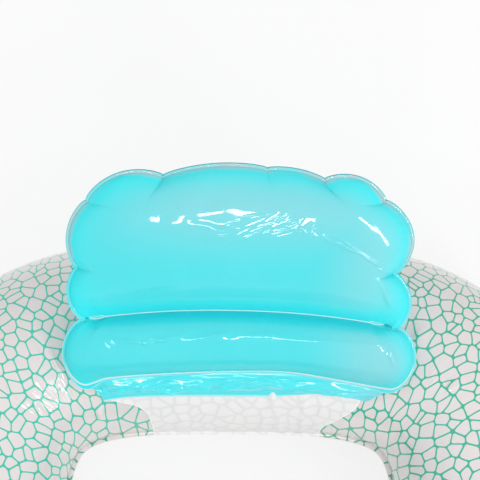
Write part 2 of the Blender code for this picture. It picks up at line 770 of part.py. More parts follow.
def build():
    clear_scene()
    turquoise = vinyl("turquoise_vinyl", TURQUOISE, 0.18)
    printed = vinyl("printed_vinyl", PRINTED_WHITE, 0.22)
    frosted = vinyl("frosted_vinyl", FROSTED_WHITE, 0.30)
    valve_white = vinyl("valve_vinyl", VALVE_WHITE, 0.35)

    ring = joint_empty("ring", (0, 0, 0))
    upper = ring_film("ring_upper_sheet", True, printed, ring)
    ring_film("ring_lower_sheet", False, printed, ring)
    anchor_panel(frosted, ring)
    place, axis = ring_valve_place()
    push_in_valve("ring_valve", upper, place, axis, valve_white, ring)

    fold = joint_empty("backrest_fold", hinge_place(), ring)
    backrest_film("backrest_front_sheet", True, turquoise, fold)
    back = backrest_film("backrest_back_sheet", False, turquoise, fold)
    hinge_flap(turquoise, fold)
    place, axis = backrest_valve_place()
    push_in_valve("backrest_valve", back, place, axis, valve_white, fold)


build()
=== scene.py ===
import math

import bpy
import numpy as np
from mathutils import Matrix, Vector, noise


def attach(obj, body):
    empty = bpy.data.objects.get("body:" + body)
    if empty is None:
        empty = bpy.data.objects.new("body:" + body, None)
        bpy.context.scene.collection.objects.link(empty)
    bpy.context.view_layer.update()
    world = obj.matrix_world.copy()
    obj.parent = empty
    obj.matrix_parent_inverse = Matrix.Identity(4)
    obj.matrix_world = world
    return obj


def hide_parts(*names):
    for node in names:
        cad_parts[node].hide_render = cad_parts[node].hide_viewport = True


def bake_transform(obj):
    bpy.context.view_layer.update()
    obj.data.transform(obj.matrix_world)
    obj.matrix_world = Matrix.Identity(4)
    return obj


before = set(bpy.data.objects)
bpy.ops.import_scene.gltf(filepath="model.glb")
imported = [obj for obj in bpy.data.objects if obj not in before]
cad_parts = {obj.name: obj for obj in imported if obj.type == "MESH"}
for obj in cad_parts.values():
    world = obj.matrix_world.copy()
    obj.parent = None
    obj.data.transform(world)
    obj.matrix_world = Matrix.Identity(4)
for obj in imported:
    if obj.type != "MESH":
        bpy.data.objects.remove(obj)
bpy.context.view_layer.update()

# The ring's two films. Each is an annulus of clear vinyl, printed with a pattern of cells. They are
# welded together along the inner and outer seams and blown up to a round tube, and the film puckers
# where the inner seam turns a corner.
TUBE_RADIUS = 0.130
RING_HALF_WIDTH = 0.350
RING_BACK_DEPTH = 0.325
RING_FRONT_DEPTH = 0.332
BACK_SQUARENESS = 3.35
FRONT_SQUARENESS = 2.2
FILM = 0.0004
FILM_GAP = 0.0003
RING_SEAM_WIDTH = 0.005
RING_START = -0.61 * math.pi
RING_FILM_STATIONS = 520
UPPER_ARC_STEPS = 88
LOWER_ARC_STEPS = 26
CROWDED_ZONES_DEG = [(32, 54), (117, 152)]
CROWDED_STEP = 0.0008
# Puckers along the outer and the inner seam: height, wavelength, seed and reach
OUTER_PUCKERS = (0.0011, 0.021, 3.0, 0.028)
INNER_PUCKERS = (0.0003, 0.017, 9.0, 0.020)
# Folds across the tube: station and rise in degrees at both ends, number of ridges side by side, and slope
PLEATS = [
    (142.2, 82, 143.5, 66, 3, 0.26), (142.6, 68, 142.9, 50, 4, 0.22), (141.2, 64, 141.8, 46, 3, 0.20),
    (138.8, 63, 136.9, 34, 4, 0.16), (133.9, 66, 130.4, 33, 4, 0.12), (132.0, 64, 126.8, 32, 4, 0.14),
    (122.8, 47, 120.6, 32, 3, 0.30), (124.8, 46, 122.8, 34, 3, 0.26), (130.2, 97, 129.3, 83, 3, 0.30),
    (132.8, 88, 132.4, 72, 3, 0.24), (130.3, 81, 130.7, 63, 4, 0.20), (137.7, 90, 138.5, 71, 4, 0.24),
    (136.2, 72, 134.3, 46, 5, 0.17), (134.3, 76, 132.2, 52, 4, 0.15),
    (45.7, 82, 41.5, 70, 3, 0.30), (41.0, 84, 36.6, 74, 3, 0.30),
]
PLEAT_SPACING_DEG = 0.52
PLEAT_WIDTHS = (0.0018, 0.0026)
# Fine wrinkles at the hole's back left corner: where they fade in and out, by station and by rise
WRINKLE_STATIONS = (119, 124, 144, 151)
WRINKLE_RISES = (26, 40, 76, 100)
WRINKLE_LENGTH = 0.0085
WRINKLE_HEIGHT = 0.00013
# Rounded lumps in the film: station and rise in degrees, reach and height
RING_KNUCKLES = [(122.8, 31, 0.0090, 0.0056), (50.4, 90, 0.0080, 0.0030), (38.6, 79, 0.0090, 0.0026)]
RING_VALVE_PLACE = np.array([0, -0.437731, 0.200836])
RING_VALVE_AXIS = np.array([0, -0.831588, 0.555394])
VALVE_HOLE_RADIUS = 0.0114
VALVE_UPHILL = np.cross(RING_VALVE_AXIS, [1.0, 0, 0])
VALVE_TURNS = np.radians(np.arange(-105, -75, 0.05))
VALVE_SIDE_DEPTH = 0.04
VALVE_FLAT_REACH = (0.019, 0.038)
RING_HOLE_REACH = 0.040
RING_HOLE_LOOPS = 14
# The print: its cells, the distances from a cell's edge at which a line's ink thins out and ends, how far
# the cells are bent, and how much of the even spacing is left towards the inner seam
PRINT_CELL_SIZE = 0.0180
PRINT_LINE_EDGES = (0.0010, 0.0016)
PRINT_CORNER_ROUNDING = 0.0017
PRINT_BEND = 0.0060
PRINT_EVENNESS = 0.4
# The ink in two tones: lit on the left, and in painted shade towards the right under the backrest
INK_LIT_LEFT = (0.035, 0.560, 0.420)
INK_SHADED_RIGHT = (0.020, 0.400, 0.260)
# A darker ink at the inner seam, painted shade
INK_SHADED_AT_SEAM = (0.005, 0.300, 0.170)
PRINTED_FILM_DARK = (0.725, 0.670, 0.664)
PRINTED_FILM_PALE = (0.785, 0.726, 0.720)
SEAM_WHITE = (0.86, 0.82, 0.81)


def smooth_step(value, low, high):
    share = np.clip((value - low) / (high - low), 0, 1)
    return share * share * (3 - 2 * share)


def fade_in_out(value, start, full, fading, end):
    """0 outside two limits and 1 well inside them, with a soft step at each."""
    return smooth_step(value, start, full) * (1 - smooth_step(value, fading, end))


def ring_plan(turn):
    """Centreline of the ring at an array of angles from +X, as x and y."""
    side, along = np.cos(turn), np.sin(turn)
    depth = np.where(along >= 0, RING_BACK_DEPTH, RING_FRONT_DEPTH)
    power = np.where(along >= 0, BACK_SQUARENESS, FRONT_SQUARENESS)
    size = (np.abs(side / RING_HALF_WIDTH) ** power + np.abs(along / depth) ** power) ** (-1 / power)
    return np.stack([side * size, along * size], -1)


def ring_plan_outward(turn):
    tangent = ring_plan(turn + 1e-4) - ring_plan(turn - 1e-4)
    outward = np.stack([tangent[..., 1], -tangent[..., 0]], -1)
    return outward / np.linalg.norm(outward, axis=-1, keepdims=True)


def ring_stations(count, crowded=()):
    """Angles at even distances along the centreline, closer in some zones, and those distances."""
    fine = np.linspace(RING_START, RING_START + 2 * math.pi, 6001)
    steps = np.linalg.norm(np.diff(ring_plan(fine), axis=0), axis=1)
    reach = np.concatenate([[0], np.cumsum(steps)])
    goal = reach[-1] * np.arange(count) / count
    for zone in crowded:
        low, high = np.interp(np.radians(zone), fine, reach)
        outside = goal[(goal < low) | (goal > high)]
        goal = np.sort(np.concatenate([outside, np.arange(low, high, CROWDED_STEP)]))
    return np.interp(goal, reach, fine), goal


def tube_places(turn, rise, radius):
    """Points of the tube: rise is 0 at the inner seam, and half a turn at the outer seam."""
    plan, outward = ring_plan(turn), ring_plan_outward(turn)
    flat = plan - outward * (radius * np.cos(rise))[..., None]
    return np.concatenate([flat, (TUBE_RADIUS + radius * np.sin(rise))[..., None]], -1)


def ripple(along, wavelength, seed):
    """Uneven folds side by side, from -1 to 1, at an array of places along a seam."""
    drift = np.array([noise.noise((a / wavelength * 0.31, seed, 0.0)) for a in np.ravel(along)])
    drift = drift.reshape(np.shape(along))
    size = np.array([noise.noise((a / wavelength * 0.57, seed, 7.7)) for a in np.ravel(along)])
    size = 0.65 + 0.9 * size.reshape(np.shape(along))
    return np.sin(2 * math.pi * along / wavelength + 5.0 * drift + seed) * size


def film_object(name, places, faces, attributes):
    """A mesh from an array of points, with one float attribute for each named array."""
    mesh = bpy.data.meshes.new(name)
    mesh.from_pydata([tuple(p) for p in places], [], [tuple(f) for f in faces])
    mesh.update()
    for attribute, values in attributes.items():
        layer = mesh.attributes.new(attribute, "FLOAT", "POINT")
        layer.data.foreach_set("value", np.asarray(values, np.float32).ravel())
    mesh.shade_smooth()
    film = bpy.data.objects.new(name, mesh)
    bpy.context.scene.collection.objects.link(film)
    return film


def grid_faces(rows, columns, closed=False, flip=False):
    """Corner numbers of the quads of a grid whose points are numbered row by row."""
    numbers = np.arange(rows * columns).reshape(rows, columns)
    if closed:
        numbers = np.concatenate([numbers, numbers[:1]])
    a, b = numbers[:-1, :-1].ravel(), numbers[1:, :-1].ravel()
    c, d = numbers[1:, 1:].ravel(), numbers[:-1, 1:].ravel()
    faces = np.stack([a, b, c, d], 1)
    return faces[:, ::-1] if flip else faces


def band_faces(inner, outer):
    """Corner numbers of the quads between two closed loops of points."""
    return np.stack([inner, outer, np.roll(outer, -1), np.roll(inner, -1)], 1)


def pleat_height(turn, rise, pleats):
    """Height of sharp folds that run across the tube, each between two places."""
    total = np.zeros(np.shape(turn))
    for station, low, last_station, high, half_width, height in pleats:
        part = np.clip((np.degrees(rise) - low) / (high - low), 0, 1)
        middle = np.radians(station + (last_station - station) * part)
        arc = (turn - middle) * np.linalg.norm(ring_plan(turn), axis=-1)
        roof = np.maximum(0, 1 - np.sqrt((arc / half_width) ** 2 + 0.01) + 0.1)
        total += height * roof * np.sin(np.pi * part) ** 0.5
    return total


def corner_pleats():
    """The pleats' ridges. Those of a group stand side by side, a little uneven."""
    draw = np.random.RandomState(14)
    ridges = []
    for station, low, last_station, high, count, slope in PLEATS:
        for k in range(count):
            offset = (k - (count - 1) / 2) * PLEAT_SPACING_DEG + draw.uniform(-0.10, 0.10)
            slide = draw.uniform(-5, 5)
            width = draw.uniform(*PLEAT_WIDTHS)
            ends = (station + offset, low + slide, last_station + offset * 0.8, high + slide)
            ridges.append((*ends, width, width * slope * draw.uniform(0.75, 1.35)))
    return ridges


def corner_wrinkles(turn, rise):
    """Fine wrinkles across the tube at the hole's back left corner, closing in on the inner seam."""
    station, high = np.degrees(turn), np.degrees(rise)
    slant = 0.16 * np.clip((143 - station) / 15, 0, 1)
    along = np.radians(station - slant * (high - 60)) * np.linalg.norm(ring_plan(turn), axis=-1)
    near = fade_in_out(station, *WRINKLE_STATIONS) * fade_in_out(high, *WRINKLE_RISES)
    total = np.zeros(turn.shape)
    inside = near > 0
    patchy = [noise.noise((a / 0.017, h / 22, 4.4)) for a, h in zip(along[inside], high[inside])]
    size = near[inside] * np.clip(0.55 + 1.5 * np.array(patchy), 0.1, 1.3)
    total[inside] = ripple(along[inside], WRINKLE_LENGTH, 6.1) * size
    return WRINKLE_HEIGHT * total


def print_spread(spread):
    """Place of the print across the film from the inner seam, drawn closer together towards it."""
    turned = np.clip(spread / TUBE_RADIUS, 0, math.pi / 2)
    drawn = PRINT_EVENNESS * turned + (1 - PRINT_EVENNESS) * (1 - np.cos(turned))
    return TUBE_RADIUS * (drawn + spread / TUBE_RADIUS - turned)


def print_values(points):
    """The print's place, the weld mark and the spread at points of the film near the valve."""
    line, outward = ring_plan(VALVE_TURNS), ring_plan_outward(VALVE_TURNS)
    near = np.linalg.norm(points[:, None, :2] - line, axis=-1).argmin(1)
    off = np.sum((points[:, :2] - line[near]) * outward[near], 1)
    spread = np.arctan2(points[:, 2] - TUBE_RADIUS, -off) * TUBE_RADIUS
    printed = line[near] + outward[near] * (print_spread(spread) - TUBE_RADIUS)[:, None]
    return np.stack([printed[:, 0], printed[:, 1], 0 * spread, spread], 1)


def valve_hole(flat, faces, reach, count):
    """Opens a film's grid for its valve. Loops of flat places close in on the hole, from the grid points
    that lie just past a reach. Gives those points' rows and columns, the loops, and the film's faces."""
    rows, columns = flat.shape[:2]
    inside = np.hypot(flat[..., 0], flat[..., 1]) < reach
    near_rows, near_columns = np.nonzero(inside.any(1))[0], np.nonzero(inside.any(0))[0]
    first, last = near_rows[0] - 1, near_rows[-1] + 1
    left, right = near_columns[0] - 1, near_columns[-1] + 1
    border = [(first, c) for c in range(left, right)] + [(r, right) for r in range(first, last)]
    border += [(last, c) for c in range(right, left, -1)] + [(r, left) for r in range(last, first, -1)]
    border = np.array(border)
    outer = flat[border[:, 0], border[:, 1]]
    hole = VALVE_HOLE_RADIUS * outer / np.linalg.norm(outer, axis=1, keepdims=True)
    loops = outer + (hole - outer) * np.linspace(0, 1, count + 1)[1:, None, None]
    kept = np.ones((len(faces) // (columns - 1), columns - 1), bool)
    kept[first:last, left:right] = False
    faces, inner = [faces[kept.ravel()]], border[:, 0] * columns + border[:, 1]
    for k in range(count):
        here = rows * columns + k * len(border) + np.arange(len(border))
        faces.append(band_faces(inner, here))
        inner = here
    return border, loops, np.concatenate(faces)


def valve_dip(places):
    """Film points round the ring's valve, pressed to the flat on which its seat is welded."""
    line = np.concatenate([ring_plan(VALVE_TURNS), np.full((len(VALVE_TURNS), 1), TUBE_RADIUS)], 1)
    height = np.zeros(places.shape[:-1])
    for _ in range(6):
        moved = places + height[..., None] * RING_VALVE_AXIS
        height += TUBE_RADIUS - np.linalg.norm(moved[..., None, :] - line, axis=-1).min(-1)
    height *= smooth_step(np.linalg.norm(places - RING_VALVE_PLACE, axis=-1), *VALVE_FLAT_REACH)
    return places + height[..., None] * RING_VALVE_AXIS


def ring_film(name, upper, arc_steps):
    """One of the ring's films, from the inner seam's edge round the tube to the outer seam's edge."""
    turn, along = ring_stations(RING_FILM_STATIONS, CROWDED_ZONES_DEG if upper else ())
    rise = np.linspace(0, math.pi, arc_steps + 1)
    turns, rises = np.meshgrid(turn, rise, indexing="ij")
    height = np.zeros(turns.shape)
    for puckers, distance in ((OUTER_PUCKERS, math.pi - rises), (INNER_PUCKERS, rises)):
        size, wavelength, seed, reach = puckers
        distance = distance * TUBE_RADIUS
        fading = np.exp(-((distance / reach) ** 2)) * (distance > 0)
        height += size * ripple(along, wavelength, seed)[:, None] * fading
    if upper:
        height += pleat_height(turns, rises, corner_pleats()) + corner_wrinkles(turns, rises)
        for station, knuckle_rise, reach, size in RING_KNUCKLES:
            flat = (turns - math.radians(station)) * np.linalg.norm(ring_plan(turns), axis=-1)
            up = (rises - math.radians(knuckle_rise)) * TUBE_RADIUS
            height += size * np.exp(-((flat**2 + up**2) / reach**2))
    places = tube_places(turns, rises, TUBE_RADIUS + height)
    if not upper:
        places[..., 2] = np.maximum(2 * TUBE_RADIUS - places[..., 2], FILM)
    lift = (FILM + FILM_GAP) / 2
    places[:, [0, -1], 2] = TUBE_RADIUS + (lift if upper else -lift)
    outward = np.concatenate([ring_plan_outward(turn), np.zeros((len(turn), 1))], -1)[:, None]
    inner_edge = places[:, :1] - outward * RING_SEAM_WIDTH
    outer_edge = places[:, -1:] + outward * RING_SEAM_WIDTH
    places = np.concatenate([inner_edge, places, outer_edge], 1)

    rows, columns = places.shape[:2]
    spread = rise * TUBE_RADIUS
    spread = np.concatenate([[-RING_SEAM_WIDTH], spread, [spread[-1] + RING_SEAM_WIDTH]])
    printed = ring_plan(turn)[:, None] + outward[..., :2] * (print_spread(spread) - TUBE_RADIUS)[:, None]
    weld = np.zeros((rows, columns))
    weld[:, [0, -1]] = 1
    points = places.reshape(-1, 3)
    values = np.stack([printed[..., 0], printed[..., 1], weld, np.tile(spread, (rows, 1))], -1).reshape(-1, 4)
    faces = grid_faces(rows, columns, closed=True, flip=not upper)
    if upper:
        away = places - RING_VALVE_PLACE
        flat = np.stack([away[..., 0], away @ VALVE_UPHILL], -1)
        flat[away @ RING_VALVE_AXIS < -VALVE_SIDE_DEPTH] = 1.0
        _, loops, faces = valve_hole(flat, faces, RING_HOLE_REACH, RING_HOLE_LOOPS)
        level = RING_VALVE_PLACE + loops[..., :1] * np.array([1.0, 0, 0]) + loops[..., 1:] * VALVE_UPHILL
        dipped = valve_dip(level).reshape(-1, 3)
        points, values = np.concatenate([points, dipped]), np.concatenate([values, print_values(dipped)])
    return film_object(name, points, faces, dict(zip(("print_x", "print_y", "weld", "spread"), values.T)))


def set_inputs(tree, node, **inputs):
    """Links or sets a node's inputs, by name with _ for a space, or by number, such as i0."""
    for key, value in inputs.items():
        socket = node.inputs[int(key[1:]) if key[1:].isdigit() else key.replace("_", " ")]
        if isinstance(value, bpy.types.NodeSocket):
            tree.links.new(value, socket)
        else:
            socket.default_value = (*value, 1) if socket.type == "RGBA" else value


def add_node(tree, kind, settings=None, **inputs):
    """Adds a node, sets its options, and links or sets its inputs."""
    node = tree.nodes.new(kind)
    for option, value in (settings or {}).items():
        setattr(node, option, value)
    set_inputs(tree, node, **inputs)
    return node


def vinyl_material(name, colour, roughness):
    """A new material with its node tree and its shader."""
    material = bpy.data.materials.new(name)
    material.use_nodes = True
    tree = material.node_tree
    shader = tree.nodes["Principled BSDF"]
    set_inputs(tree, shader, Base_Color=colour, Roughness=roughness, IOR=1.53)
    return material, tree, shader


def surface_value(tree, name):
    """The value that a mesh attribute holds at the shaded point."""
    return add_node(tree, "ShaderNodeAttribute", {"attribute_name": name}).outputs["Fac"]


def calculate(tree, operation, a, b=0.0):
    return add_node(tree, "ShaderNodeMath", {"operation": operation}, i0=a, i1=b).outputs[0]


def ease_between(tree, value, low, high, start=0.0, end=1.0):
    """Runs smoothly from start to end as the value goes from low to high."""
    node = add_node(
        tree, "ShaderNodeMapRange", {"interpolation_type": "SMOOTHSTEP"},
        Value=value, From_Min=low, From_Max=high, To_Min=start, To_Max=end,
    )
    return node.outputs["Result"]


def blend_colour(tree, share, low, high):
    return add_node(tree, "ShaderNodeMix", {"data_type": "RGBA"}, i0=share, i6=low, i7=high).outputs[2]


def place_vector(tree, x, y, z=0.0):
    return add_node(tree, "ShaderNodeCombineXYZ", i0=x, i1=y, i2=z).outputs[0]


def move_vector(tree, place, shift):
    return add_node(tree, "ShaderNodeVectorMath", {"operation": "ADD"}, i0=place, i1=shift).outputs[0]


def cloudy(tree, place, scale, detail):
    """An uneven value, from 0 to 1, that changes softly from place to place."""
    return add_node(tree, "ShaderNodeTexNoise", Vector=place, Scale=scale, Detail=detail).outputs["Fac"]


def value_group(name, inputs, output):
    """A node group that puts out one value, with what goes in and where the value comes out."""
    group = bpy.data.node_groups.new(name, "ShaderNodeTree")
    for socket, default in inputs.items():
        kind = "NodeSocketVector" if default is None else "NodeSocketFloat"
        made = group.interface.new_socket(socket, in_out="INPUT", socket_type=kind)
        if default is not None:
            made.default_value = default
    group.interface.new_socket(output, in_out="OUTPUT", socket_type="NodeSocketFloat")
    entry, leaving = group.nodes.new("NodeGroupInput"), group.nodes.new("NodeGroupOutput")
    return group, entry.outputs, leaving.inputs[output]


def film_wrinkle_group():
    """Height of a taut film's fine surface: long soft waves with a few sharp creases on them."""
    inputs = {"Place": None, "Wave Size": 12.0, "Crease Size": 40.0, "Crease Share": 0.0}
    group, given, result = value_group("film_wrinkles", inputs, "Height")
    soft = add_node(
        group, "ShaderNodeTexNoise", Vector=given["Place"], Scale=given["Wave Size"],
        Detail=2.0, Roughness=0.5,
    )
    bent = add_node(
        group, "ShaderNodeTexNoise", Vector=given["Place"], Scale=given["Crease Size"],
        Detail=3.0, Roughness=0.55, Distortion=0.6,
    )
    ridge = calculate(group, "ABSOLUTE", calculate(group, "SUBTRACT", bent.outputs["Fac"], 0.5))
    ridge = ease_between(group, ridge, 0.0, 0.07, 1.0, 0.0)
    ridge = calculate(group, "MULTIPLY", ridge, given["Crease Share"])
    group.links.new(calculate(group, "ADD", soft.outputs["Fac"], ridge), result)
    return group


film_wrinkles = film_wrinkle_group()


def film_normal(tree, place, wave_size, crease_size, crease_share, height):
    """The normal of a film's fine surface, from the film wrinkles at some height."""
    wrinkles = add_node(
        tree, "ShaderNodeGroup", {"node_tree": film_wrinkles},
        Place=place, Wave_Size=wave_size, Crease_Size=crease_size, Crease_Share=crease_share,
    )
    height = calculate(tree, "MULTIPLY", wrinkles.outputs["Height"], height)
    return add_node(tree, "ShaderNodeBump", Height=height, Strength=1.0, Distance=1.0).outputs["Normal"]


def rounded_cell_group():
    """Distance to the nearest cell edge, averaged over a small disc, which rounds the cells' corners."""
    group, given, result = value_group("rounded_cells", {"Place": None}, "Distance")
    total = 0.0
    for x, y in ((0, 0), (1, 0), (-1, 0), (0, 1), (0, -1)):
        shift = (x * PRINT_CORNER_ROUNDING, y * PRINT_CORNER_ROUNDING, 0)
        cells = add_node(
            group, "ShaderNodeTexVoronoi", {"feature": "DISTANCE_TO_EDGE", "voronoi_dimensions": "2D"},
            Vector=move_vector(group, given["Place"], shift), Scale=1 / PRINT_CELL_SIZE, Randomness=0.95,
        )
        total = calculate(group, "ADD", total, cells.outputs["Distance"])
    group.links.new(calculate(group, "MULTIPLY", total, PRINT_CELL_SIZE / 5), result)
    return group


rounded_cells = rounded_cell_group()


def cell_edge_distance(tree, place):
    return add_node(tree, "ShaderNodeGroup", {"node_tree": rounded_cells}, Place=place).outputs["Distance"]


def printed_film_material():
    """Warm white film printed with green lines round uneven cells, the ink darkened by painted shade towards
    the right and at the inner seam.
    """
    material, tree, shader = vinyl_material("printed_film", (0.74, 0.69, 0.69), 0.07)
    x, y = surface_value(tree, "print_x"), surface_value(tree, "print_y")
    place = place_vector(tree, x, y)
    drift = add_node(tree, "ShaderNodeTexNoise", Vector=place, Scale=30.0, Detail=1.0).outputs["Color"]
    bend = add_node(tree, "ShaderNodeVectorMath", {"operation": "SCALE"}, i0=drift, Scale=PRINT_BEND)
    distance = cell_edge_distance(tree, move_vector(tree, place, bend.outputs[0]))
    line = ease_between(tree, distance, *PRINT_LINE_EDGES, 1.0, 0.0)
    rim = ease_between(tree, surface_value(tree, "weld"), 0.80, 0.95)
    line = calculate(tree, "MULTIPLY", line, calculate(tree, "SUBTRACT", 1.0, rim))
    # Painted shade: the ink runs darker towards the right, under the backrest, with uneven blotches on top
    aside = ease_between(tree, x, -0.12, 0.30, 0.12, 0.78)
    painted_shade_and_blotches = calculate(tree, "ADD", aside, calculate(tree, "SUBTRACT", cloudy(tree, place, 5.0, 2.0), 0.5))
    ink = blend_colour(tree, painted_shade_and_blotches, INK_LIT_LEFT, INK_SHADED_RIGHT)
    # Painted shade: the ink turns darker towards the inner seam
    painted_seam_shade = ease_between(tree, surface_value(tree, "spread"), -0.004, 0.044, 0.6, 0.0)
    ink = blend_colour(tree, painted_seam_shade, ink, INK_SHADED_AT_SEAM)
    film = blend_colour(tree, cloudy(tree, place, 26.0, 3.0), PRINTED_FILM_DARK, PRINTED_FILM_PALE)
    film = blend_colour(tree, rim, film, SEAM_WHITE)
    set_inputs(
        tree, shader, Base_Color=blend_colour(tree, line, film, ink),
        Normal=film_normal(tree, place, 9.0, 20.0, 0.10, 0.0016), Coat_Weight=0.6, Coat_Roughness=0.03,
    )
    return material


printed_film = printed_film_material()
for name, upper, arc_steps in (
    ("ring_upper_film", True, UPPER_ARC_STEPS), ("ring_lower_film", False, LOWER_ARC_STEPS),
):
    film = ring_film(name, upper, arc_steps)
    film.data.materials.append(printed_film)
    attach(film, "ring")
    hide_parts("ring_upper_sheet" if upper else "ring_lower_sheet")

# The anchor panel. A tab of frosted white film is caught in the ring's inner seam and lies on the
# tube's inner flank. The cells of the ring's film show faintly through it.
PANEL_ROWS = 60
PANEL_COLUMNS = 130
PANEL_TOP_HEIGHT = 0.099
PANEL_MEAN_WIDTH = 0.240
PANEL_RADIUS = TUBE_RADIUS + 0.0010
PANEL_FOOT_LIFT = 0.0011
BACK_TURN_LIMITS_DEG = (8, 172)
# Its outline: degrees up from the seam, and how far the left and the right side lie from the middle
PANEL_OUTLINE_DEG = [0, 13, 18, 24, 30, 34, 38, 44]
PANEL_LEFT_SIDE = [-0.103, -0.1045, -0.106, -0.108, -0.116, -0.128, -0.154, -0.163]
PANEL_RIGHT_SIDE = [0.117, 0.1185, 0.131, 0.141, 0.153, 0.160, 0.1645, 0.168]
# Creases that run up the panel: place sideways, lean, half width and height
PANEL_CREASES = [
    (0.036, 0.020, 0.0050, 0.0018), (0.066, -0.014, 0.0052, 0.0032), (0.088, 0.010, 0.0046, 0.0030),
    (0.104, 0.018, 0.0040, 0.0020), (-0.060, -0.012, 0.0080, 0.0014), (-0.010, 0.008, 0.0090, 0.0012),
]
FROSTED_DARK = (0.82, 0.79, 0.795)
FROSTED_PALE = (0.88, 0.85, 0.855)
PRINT_BELOW_PANEL = (0.60, 0.62, 0.61)
PANEL_EDGE_WHITE = (0.93, 0.93, 0.94)


def running_mean(values, reach, ends):
    """Each value's mean with those up to some steps away. Ends says how the list goes on past its ends."""
    count = 2 * reach + 1
    return np.convolve(np.pad(values, reach, ends), np.full(count, 1 / count), "valid")


def back_turns(x, rise, radius):
    """Angles round the ring's back at which the tube's points have the wanted x."""
    low, high = (np.full(np.shape(x), math.radians(limit)) for limit in BACK_TURN_LIMITS_DEG)
    for _ in range(40):
        middle = (low + high) / 2
        beyond = tube_places(middle, rise, radius)[..., 0] > x
        low, high = np.where(beyond, middle, low), np.where(beyond, high, middle)
    return (low + high) / 2


def anchor_panel():
    part, across = np.linspace(0, 1, PANEL_ROWS), np.linspace(0, 1, PANEL_COLUMNS)
    up = part * PANEL_TOP_HEIGHT
    turned = np.degrees(up / TUBE_RADIUS)
    left, right = (
        running_mean(np.interp(turned, PANEL_OUTLINE_DEG, side), 3, "edge")[:, None]
        for side in (PANEL_LEFT_SIDE, PANEL_RIGHT_SIDE)
    )
    x = left + (right - left) * across
    rise = np.repeat((up / TUBE_RADIUS)[:, None], PANEL_COLUMNS, 1)
    creases = np.zeros(x.shape)
    for crease_x, lean, half_width, height in PANEL_CREASES:
        middle = crease_x + lean * part[:, None]
        creases += height * np.exp(-(((x - middle) / half_width) ** 2)) * np.sin(np.pi * part[:, None]) ** 0.6
    turns = back_turns(x, rise, PANEL_RADIUS)
    places = tube_places(turns, rise, PANEL_RADIUS + creases)
    places[0, :, 2] = TUBE_RADIUS + PANEL_FOOT_LIFT
    foot = places[:1].copy()
    foot[0, :, :2] -= ring_plan_outward(turns[0]) * (RING_SEAM_WIDTH - FILM)
    places = np.concatenate([foot, places])
    shape = places.shape[:2]
    height = np.concatenate([[-RING_SEAM_WIDTH], up])[:, None] * np.ones(shape)
    edge = np.minimum(across, 1 - across) * PANEL_MEAN_WIDTH * np.ones(shape)
    attributes = {"across": np.concatenate([x[:1], x]), "height": height, "edge": edge}
    return film_object("anchor_panel_film", places.reshape(-1, 3), grid_faces(*shape), attributes)


def frosted_film_material():
    """Frosted white film, through which the ring's cells show faintly, brightened by a faint painted white
    glow.
    """
    material, tree, shader = vinyl_material("frosted_film", (0.86, 0.86, 0.865), 0.30)
    place = place_vector(tree, surface_value(tree, "across"), surface_value(tree, "height"))
    film = blend_colour(tree, cloudy(tree, place, 34.0, 4.0), FROSTED_DARK, FROSTED_PALE)
    shown = ease_between(tree, cell_edge_distance(tree, place), 0.0009, 0.0030, 0.36, 0.0)
    film = blend_colour(tree, shown, film, PRINT_BELOW_PANEL)
    edge = ease_between(tree, surface_value(tree, "edge"), 0.0008, 0.0024, 0.6, 0.0)
    # The white emission is a faint painted glow that brightens the panel
    set_inputs(
        tree, shader, Base_Color=blend_colour(tree, edge, film, PANEL_EDGE_WHITE), Alpha=0.95,
        Normal=film_normal(tree, place, 14.0, 30.0, 0.06, 0.0012),
        Emission_Color=(1, 1, 1), Emission_Strength=0.06,
    )
    return material


panel = anchor_panel()
panel.data.materials.append(frosted_film_material())
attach(panel, "ring")
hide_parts("anchor_panel")

# The backrest's two films. Turquoise vinyl is welded round a scalloped outline, and across between
# the bolster and the shell, then blown up. The rim outside the weld is flat, and wider at the two
# lower corners. Slack film over the middle of the shell has crumpled into many small creases.
RIM_WIDTH = 0.004
CORNER_RIM_WIDTHS = (0.0095, 0.0080)
RIM_OUT = FILM / 2 + FILM_GAP + FILM
RIM_EDGE_STEP = 0.0011
# Loops of the rim, from the weld out: width, or None for just inside the edge and 0 for the edge itself,
# height of the bead on it, and the two marks that the material reads
RIM_LOOPS = [
    (0.0004, 0.0003, 1, 0.1), (0.0012, 0.0005, 1, 0.2), (0.0020, 0.0004, 1, 0.3),
    (0.0025, 0.0, 0, 0.45), (None, 0.0, 0, 0.5), (0.0, 0.0, 0, 1),
]
KNEE_RISE = 0.0956 / TUBE_RADIUS
KNEE_RADIUS = TUBE_RADIUS + 0.0023
FLAP_RUN = 0.0433
FLAP_LEAN = math.radians(64.1)
BACKREST_WIDTH = 0.400
BACKREST_HEIGHT = 0.280
RECLINE = math.radians(45)
END_BOW = 0.018
END_BOW_FADE = 0.45
BOW_SPAN = 0.5875 * BACKREST_WIDTH
BOW_POWER = 2.5
SHELL_HALF_DEPTH = 0.034
SHELL_CROWN_POWER = 2.6
SHELL_END_POWER = 5
BOLSTER_HALF_DEPTH = 0.034
BOLSTER_END_POWER = 8
CROWN_ROUNDNESS = 0.72
BOLSTER_TOP_ROUNDNESS = 0.30
END_ROUNDNESS = 0.6
SHELL_NOTCHES = [
    (-0.4575, 0.279), (-0.470, 0.539), (-0.4375, 0.854), (-0.210, 0.961), (0.105, 1.000),
    (0.280, 0.950), (0.460, 0.864), (0.4925, 0.521), (0.515, 0.254),
]
LOBE_SWELL = [0.016, 0.018, 0.021, 0.0112, 0.0068, 0.018, 0.029, 0.0185]
LOBE_ROUNDNESS = 0.65
LOWER_WELD = [
    (-0.460, -0.057), (-0.400, -0.029), (-0.225, -0.014), (0.025, 0.000),
    (0.175, 0.000), (0.350, -0.036), (0.500, -0.064),
]
QUILT_WELD_ARCH = 0.013
QUILT_WELD_WIDTH = 0.005
QUILT_WELD_ENDS = (-0.179, 0.192)
